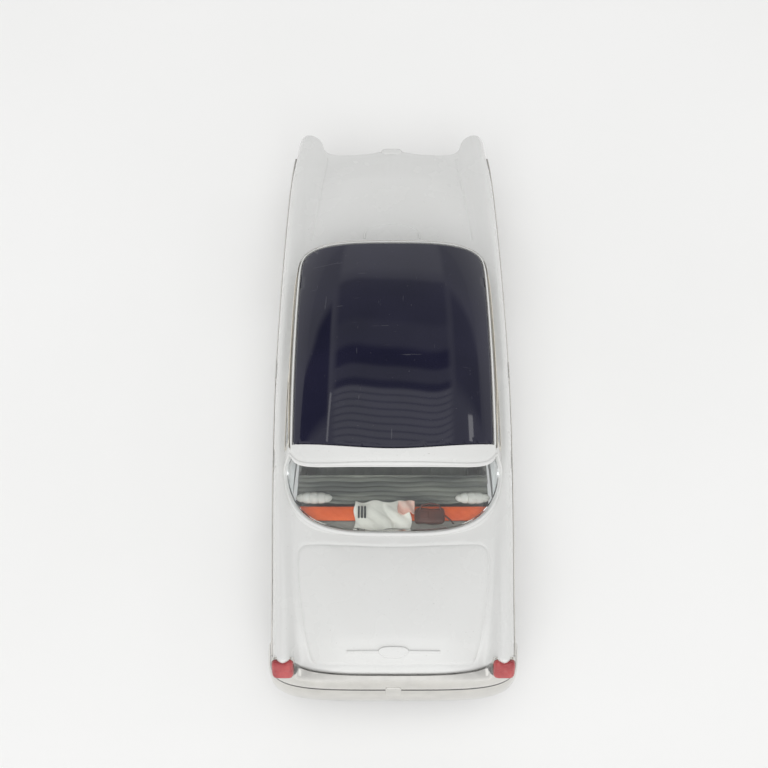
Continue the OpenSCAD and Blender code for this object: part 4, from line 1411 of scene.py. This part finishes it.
def wheel(name, side, end):
    """Tyre with its white wall, rim and cap, turned from (radius, distance outwards) profiles."""
    middle = (side * TRACK / 2, AXLE_Y[end], TYRE_R)
    half = TYRE_W / 2
    tread = [(TYRE_R - (0.0 if k % 3 else 0.3), -2.4 + 0.4 * k) for k in range(13)]
    tyre = ([(RIM_R, 2.2), (RIM_R, -2.2), (RIM_R + 0.2, -2.9), (11.0, -half + 0.05), (12.6, -half),
             (13.8, -3.2), (14.25, -2.8)]
            + tread + [(14.25, 2.8), (13.8, 3.2), (12.9, half - 0.05), (12.6, half - 0.12),
                       (11.0, half - 0.08), (RIM_R + 0.25, 2.95)])
    wall = ((10.2, half - 0.3), (10.2, half - 0.02), (10.5, half + 0.05), (11.9, half + 0.05),
            (12.3, half - 0.02), (12.3, half - 0.3))
    rim = ((1.0, -3), (2.6, -3), (3, -1), (8.2, -1), (9.2, -2), (9.36, -1.9), (9.36, 2.2), (9.5, 2.75),
           (9.45, 3.0), (9.2, 3.05), (8.9, 2.8), (8.6, 1.9), (8.1, 1.4), (6.8, 1.1), (1.0, 1.0))
    cap = [(0.01, 1.05), (6.5, 1.05), (6.9, 1.3), (6.95, 1.6), (6.6, 1.85), (6.2, 1.8)]
    cap += [(6.0 * math.cos(a), 1.75 + 1.15 * math.sin(a)) for a in spread(0.1, 0.75, 5)]
    cap += [(3.9, 2.45), (3.6, 2.5), (3.4, 2.75)]
    cap += [(3.3 * math.cos(a), 2.8 + 0.6 * math.sin(a)) for a in spread(0.15, 1.5, 6)] + [(0.01, 3.4)]
    for profile, ending, material, replaced, slot, sharp in (
            (tyre, "_wheel_tyre", RUBBER, ("_tyre",), "tyre_rubber", 50),
            (wall, "_white_wall", WHITE_WALL, (), "tyre_rubber", 50),
            (rim, "_wheel_rim", SATIN_PLATE, ("_rim",), "bright_trim", 40),
            (cap, "_wheel_cap", CHROME, ("_hubcap",), "bright_trim", 40)):
        piece(lathe(profile, middle, side, WHEEL_STEPS), name + ending, material, end + "_axle_set",
              tuple(name + old for old in replaced), sharp)


for hand, side in SIDES.items():
    for end in ("front", "rear"):
        wheel(end + "_" + hand, side, end)

# ---- Finishes of the pieces kept as they are ----

KEPT = {CARD: ("interior_tub",), BLACK: ("steering_wheel",), BASE_BLACK: ("base_plate",),
        PIPE_GREY: ("exhaust_pipe",), PAINT: ("dashboard",), STEEL: ("front_axle", "rear_axle"),
        SATIN_PLATE: ("base_screws", "grille"), CHROME: ("left_headlamp_bezel", "right_headlamp_bezel"),
        CLEAR: ("left_headlamp_lens", "right_headlamp_lens")}
for material, names in KEPT.items():
    for name in names:
        kept = bpy.data.objects[name]
        kept.data.materials.clear()
        kept.data.materials.append(material)

# ---- Floor, light and camera ----


def floor():
    bm = bmesh.new()
    bmesh.ops.create_grid(bm, x_segments=8, y_segments=8, size=3)
    mesh = bpy.data.meshes.new("floor")
    bm.to_mesh(mesh)
    bm.free()
    mesh.materials.append(glowing_table_top())
    obj = bpy.data.objects.new("floor", mesh)
    bpy.context.scene.collection.objects.link(obj)


def softbox(name, place, target, width, height, power_w):
    lamp = bpy.data.lights.new(name, "AREA")
    lamp.shape = "RECTANGLE"
    lamp.size, lamp.size_y, lamp.energy = width, height, power_w
    obj = bpy.data.objects.new(name, lamp)
    obj.location = place
    obj.rotation_euler = (Vector(target) - Vector(place)).to_track_quat("-Z", "Y").to_euler()
    bpy.context.scene.collection.objects.link(obj)
    return obj


# Tones of the ceiling from behind the car to ahead of it, as (place along it, tone)
CEILING = ((-0.3, 1.0), (-0.12, 1.0), (0.285, 0.9), (0.3, 0.12), (0.33, 0.14), (0.35, 0.42), (0.41, 0.42),
           (0.43, 0.1), (0.51, 0.08), (0.54, 0.36), (0.62, 0.38), (0.66, 0.27), (0.85, 0.3), (1.0, 0.36),
           (1.05, 0.62), (1.2, 0.82))
CEILING_START, CEILING_SPAN = -0.3, 1.8
SLAT_PITCH = 0.041
SKY_LEVEL = 0.895


def studio():
    """Even white surroundings, with a dark ceiling panel and a slatted lamp that gloss picks up."""
    world = bpy.data.worlds.new("studio")
    world.use_nodes = True
    tree = world.node_tree

    def calc(operation, a, b=0.0):
        made = tree.nodes.new("ShaderNodeMath")
        made.operation = operation
        for socket, value in zip(made.inputs, (a, b)):
            if isinstance(value, float):
                socket.default_value = value
            else:
                tree.links.new(value, socket)
        return made.outputs[0]

    def between(value, low, high, soft):
        """1 between two limits, fading to 0 outside them."""
        rise = calc("DIVIDE", calc("SUBTRACT", value, low), soft)
        fall = calc("DIVIDE", calc("SUBTRACT", high, value), soft)
        return calc("MINIMUM", calc("MAXIMUM", calc("MINIMUM", rise, fall), 0.0), 1.0)

    split = tree.nodes.new("ShaderNodeSeparateXYZ")
    tree.links.new(tree.nodes.new("ShaderNodeTexCoord").outputs["Generated"], split.inputs[0])
    up = calc("MAXIMUM", split.outputs["Z"], 0.02)
    across = calc("DIVIDE", split.outputs["X"], up)
    ahead = calc("DIVIDE", split.outputs["Y"], up)
    sway = calc("MULTIPLY", calc("SINE", calc("MULTIPLY", across, 7.0)), 0.02)
    bowed = calc("ADD", calc("ADD", ahead, calc("MULTIPLY", calc("MULTIPLY", across, across), -0.22)), sway)
    ramp = tree.nodes.new("ShaderNodeValToRGB")
    tree.links.new(calc("DIVIDE", calc("ADD", bowed, -CEILING_START), CEILING_SPAN), ramp.inputs[0])
    stops = ramp.color_ramp.elements
    for k, (place, tone) in enumerate(CEILING):
        stop = stops[k] if k < 2 else stops.new(1.0)
        stop.position = (place - CEILING_START) / CEILING_SPAN
        stop.color = (tone, tone, tone, 1)
    inside = between(across, -0.56, 0.56, 0.12)
    lines = calc("MAXIMUM", calc("SINE", calc("MULTIPLY", bowed, 2 * math.pi / SLAT_PITCH)), 0.6)
    lines = calc("MULTIPLY", calc("SUBTRACT", lines, 0.6), between(bowed, -0.12, 0.28, 0.02))
    lines = calc("SUBTRACT", 1.25, calc("MULTIPLY", lines, 2.1))
    dark_side = calc("MULTIPLY", between(across, -6.0, -0.6, 0.06), between(ahead, 0.12, 0.95, 0.12))
    outside = calc("SUBTRACT", 0.72, calc("MULTIPLY", dark_side, 0.6))
    far_side = calc("MULTIPLY", between(across, 0.5, 1.7, 0.15), between(ahead, 0.3, 1.1, 0.15))
    outside = calc("SUBTRACT", outside, calc("MULTIPLY", far_side, 0.36))
    panel = calc("MULTIPLY", calc("MULTIPLY", ramp.outputs[0], lines), inside)
    level = calc("ADD", panel, calc("MULTIPLY", outside, calc("SUBTRACT", 1.0, inside)))
    height = calc("MULTIPLY", calc("ABSOLUTE", split.outputs["Z"]), 2.2)
    low = calc("MAXIMUM", calc("SUBTRACT", 1.0, height), 0.0)
    overhead = calc("GREATER_THAN", split.outputs["Z"], 0.45)
    walls = calc("MULTIPLY", calc("SUBTRACT", 1.0, overhead), 0.8)
    level = calc("ADD", calc("MULTIPLY", level, overhead), walls)
    level = calc("MULTIPLY", calc("ADD", level, calc("MULTIPLY", low, 0.4)), SKY_LEVEL)
    tree.links.new(level, tree.nodes["Background"].inputs["Strength"])
    tree.nodes["Background"].inputs["Color"].default_value = (0.99, 0.995, 1.0, 1)
    bpy.context.scene.world = world
    fill = softbox("rear_softbox", (-0.1, -1.05, 1.3), (0, 0, 0.03), 1.3, 0.9, 8.3)
    fill.visible_glossy = False
    softbox("left_strip", (-0.53, 0.12, 0.91), (0, 0, 0.06), 0.3, 0.03, 0.05)
    softbox("right_lamp", (0.73, 0.1, 0.75), (0, 0, 0.06), 0.16, 0.09, 0.11)


def camera():
    lens = bpy.data.cameras.new("camera")
    lens.sensor_width = 36
    lens.lens = 59.58
    lens.clip_start = 0.01
    obj = bpy.data.objects.new("camera", lens)
    obj.location = (-0.00287, -0.20542, 0.41679)
    obj.rotation_euler = (math.radians(28), 0, 0)
    bpy.context.scene.collection.objects.link(obj)
    bpy.context.scene.camera = obj


floor()
studio()
camera()
bpy.context.scene.view_settings.view_transform = "Standard"
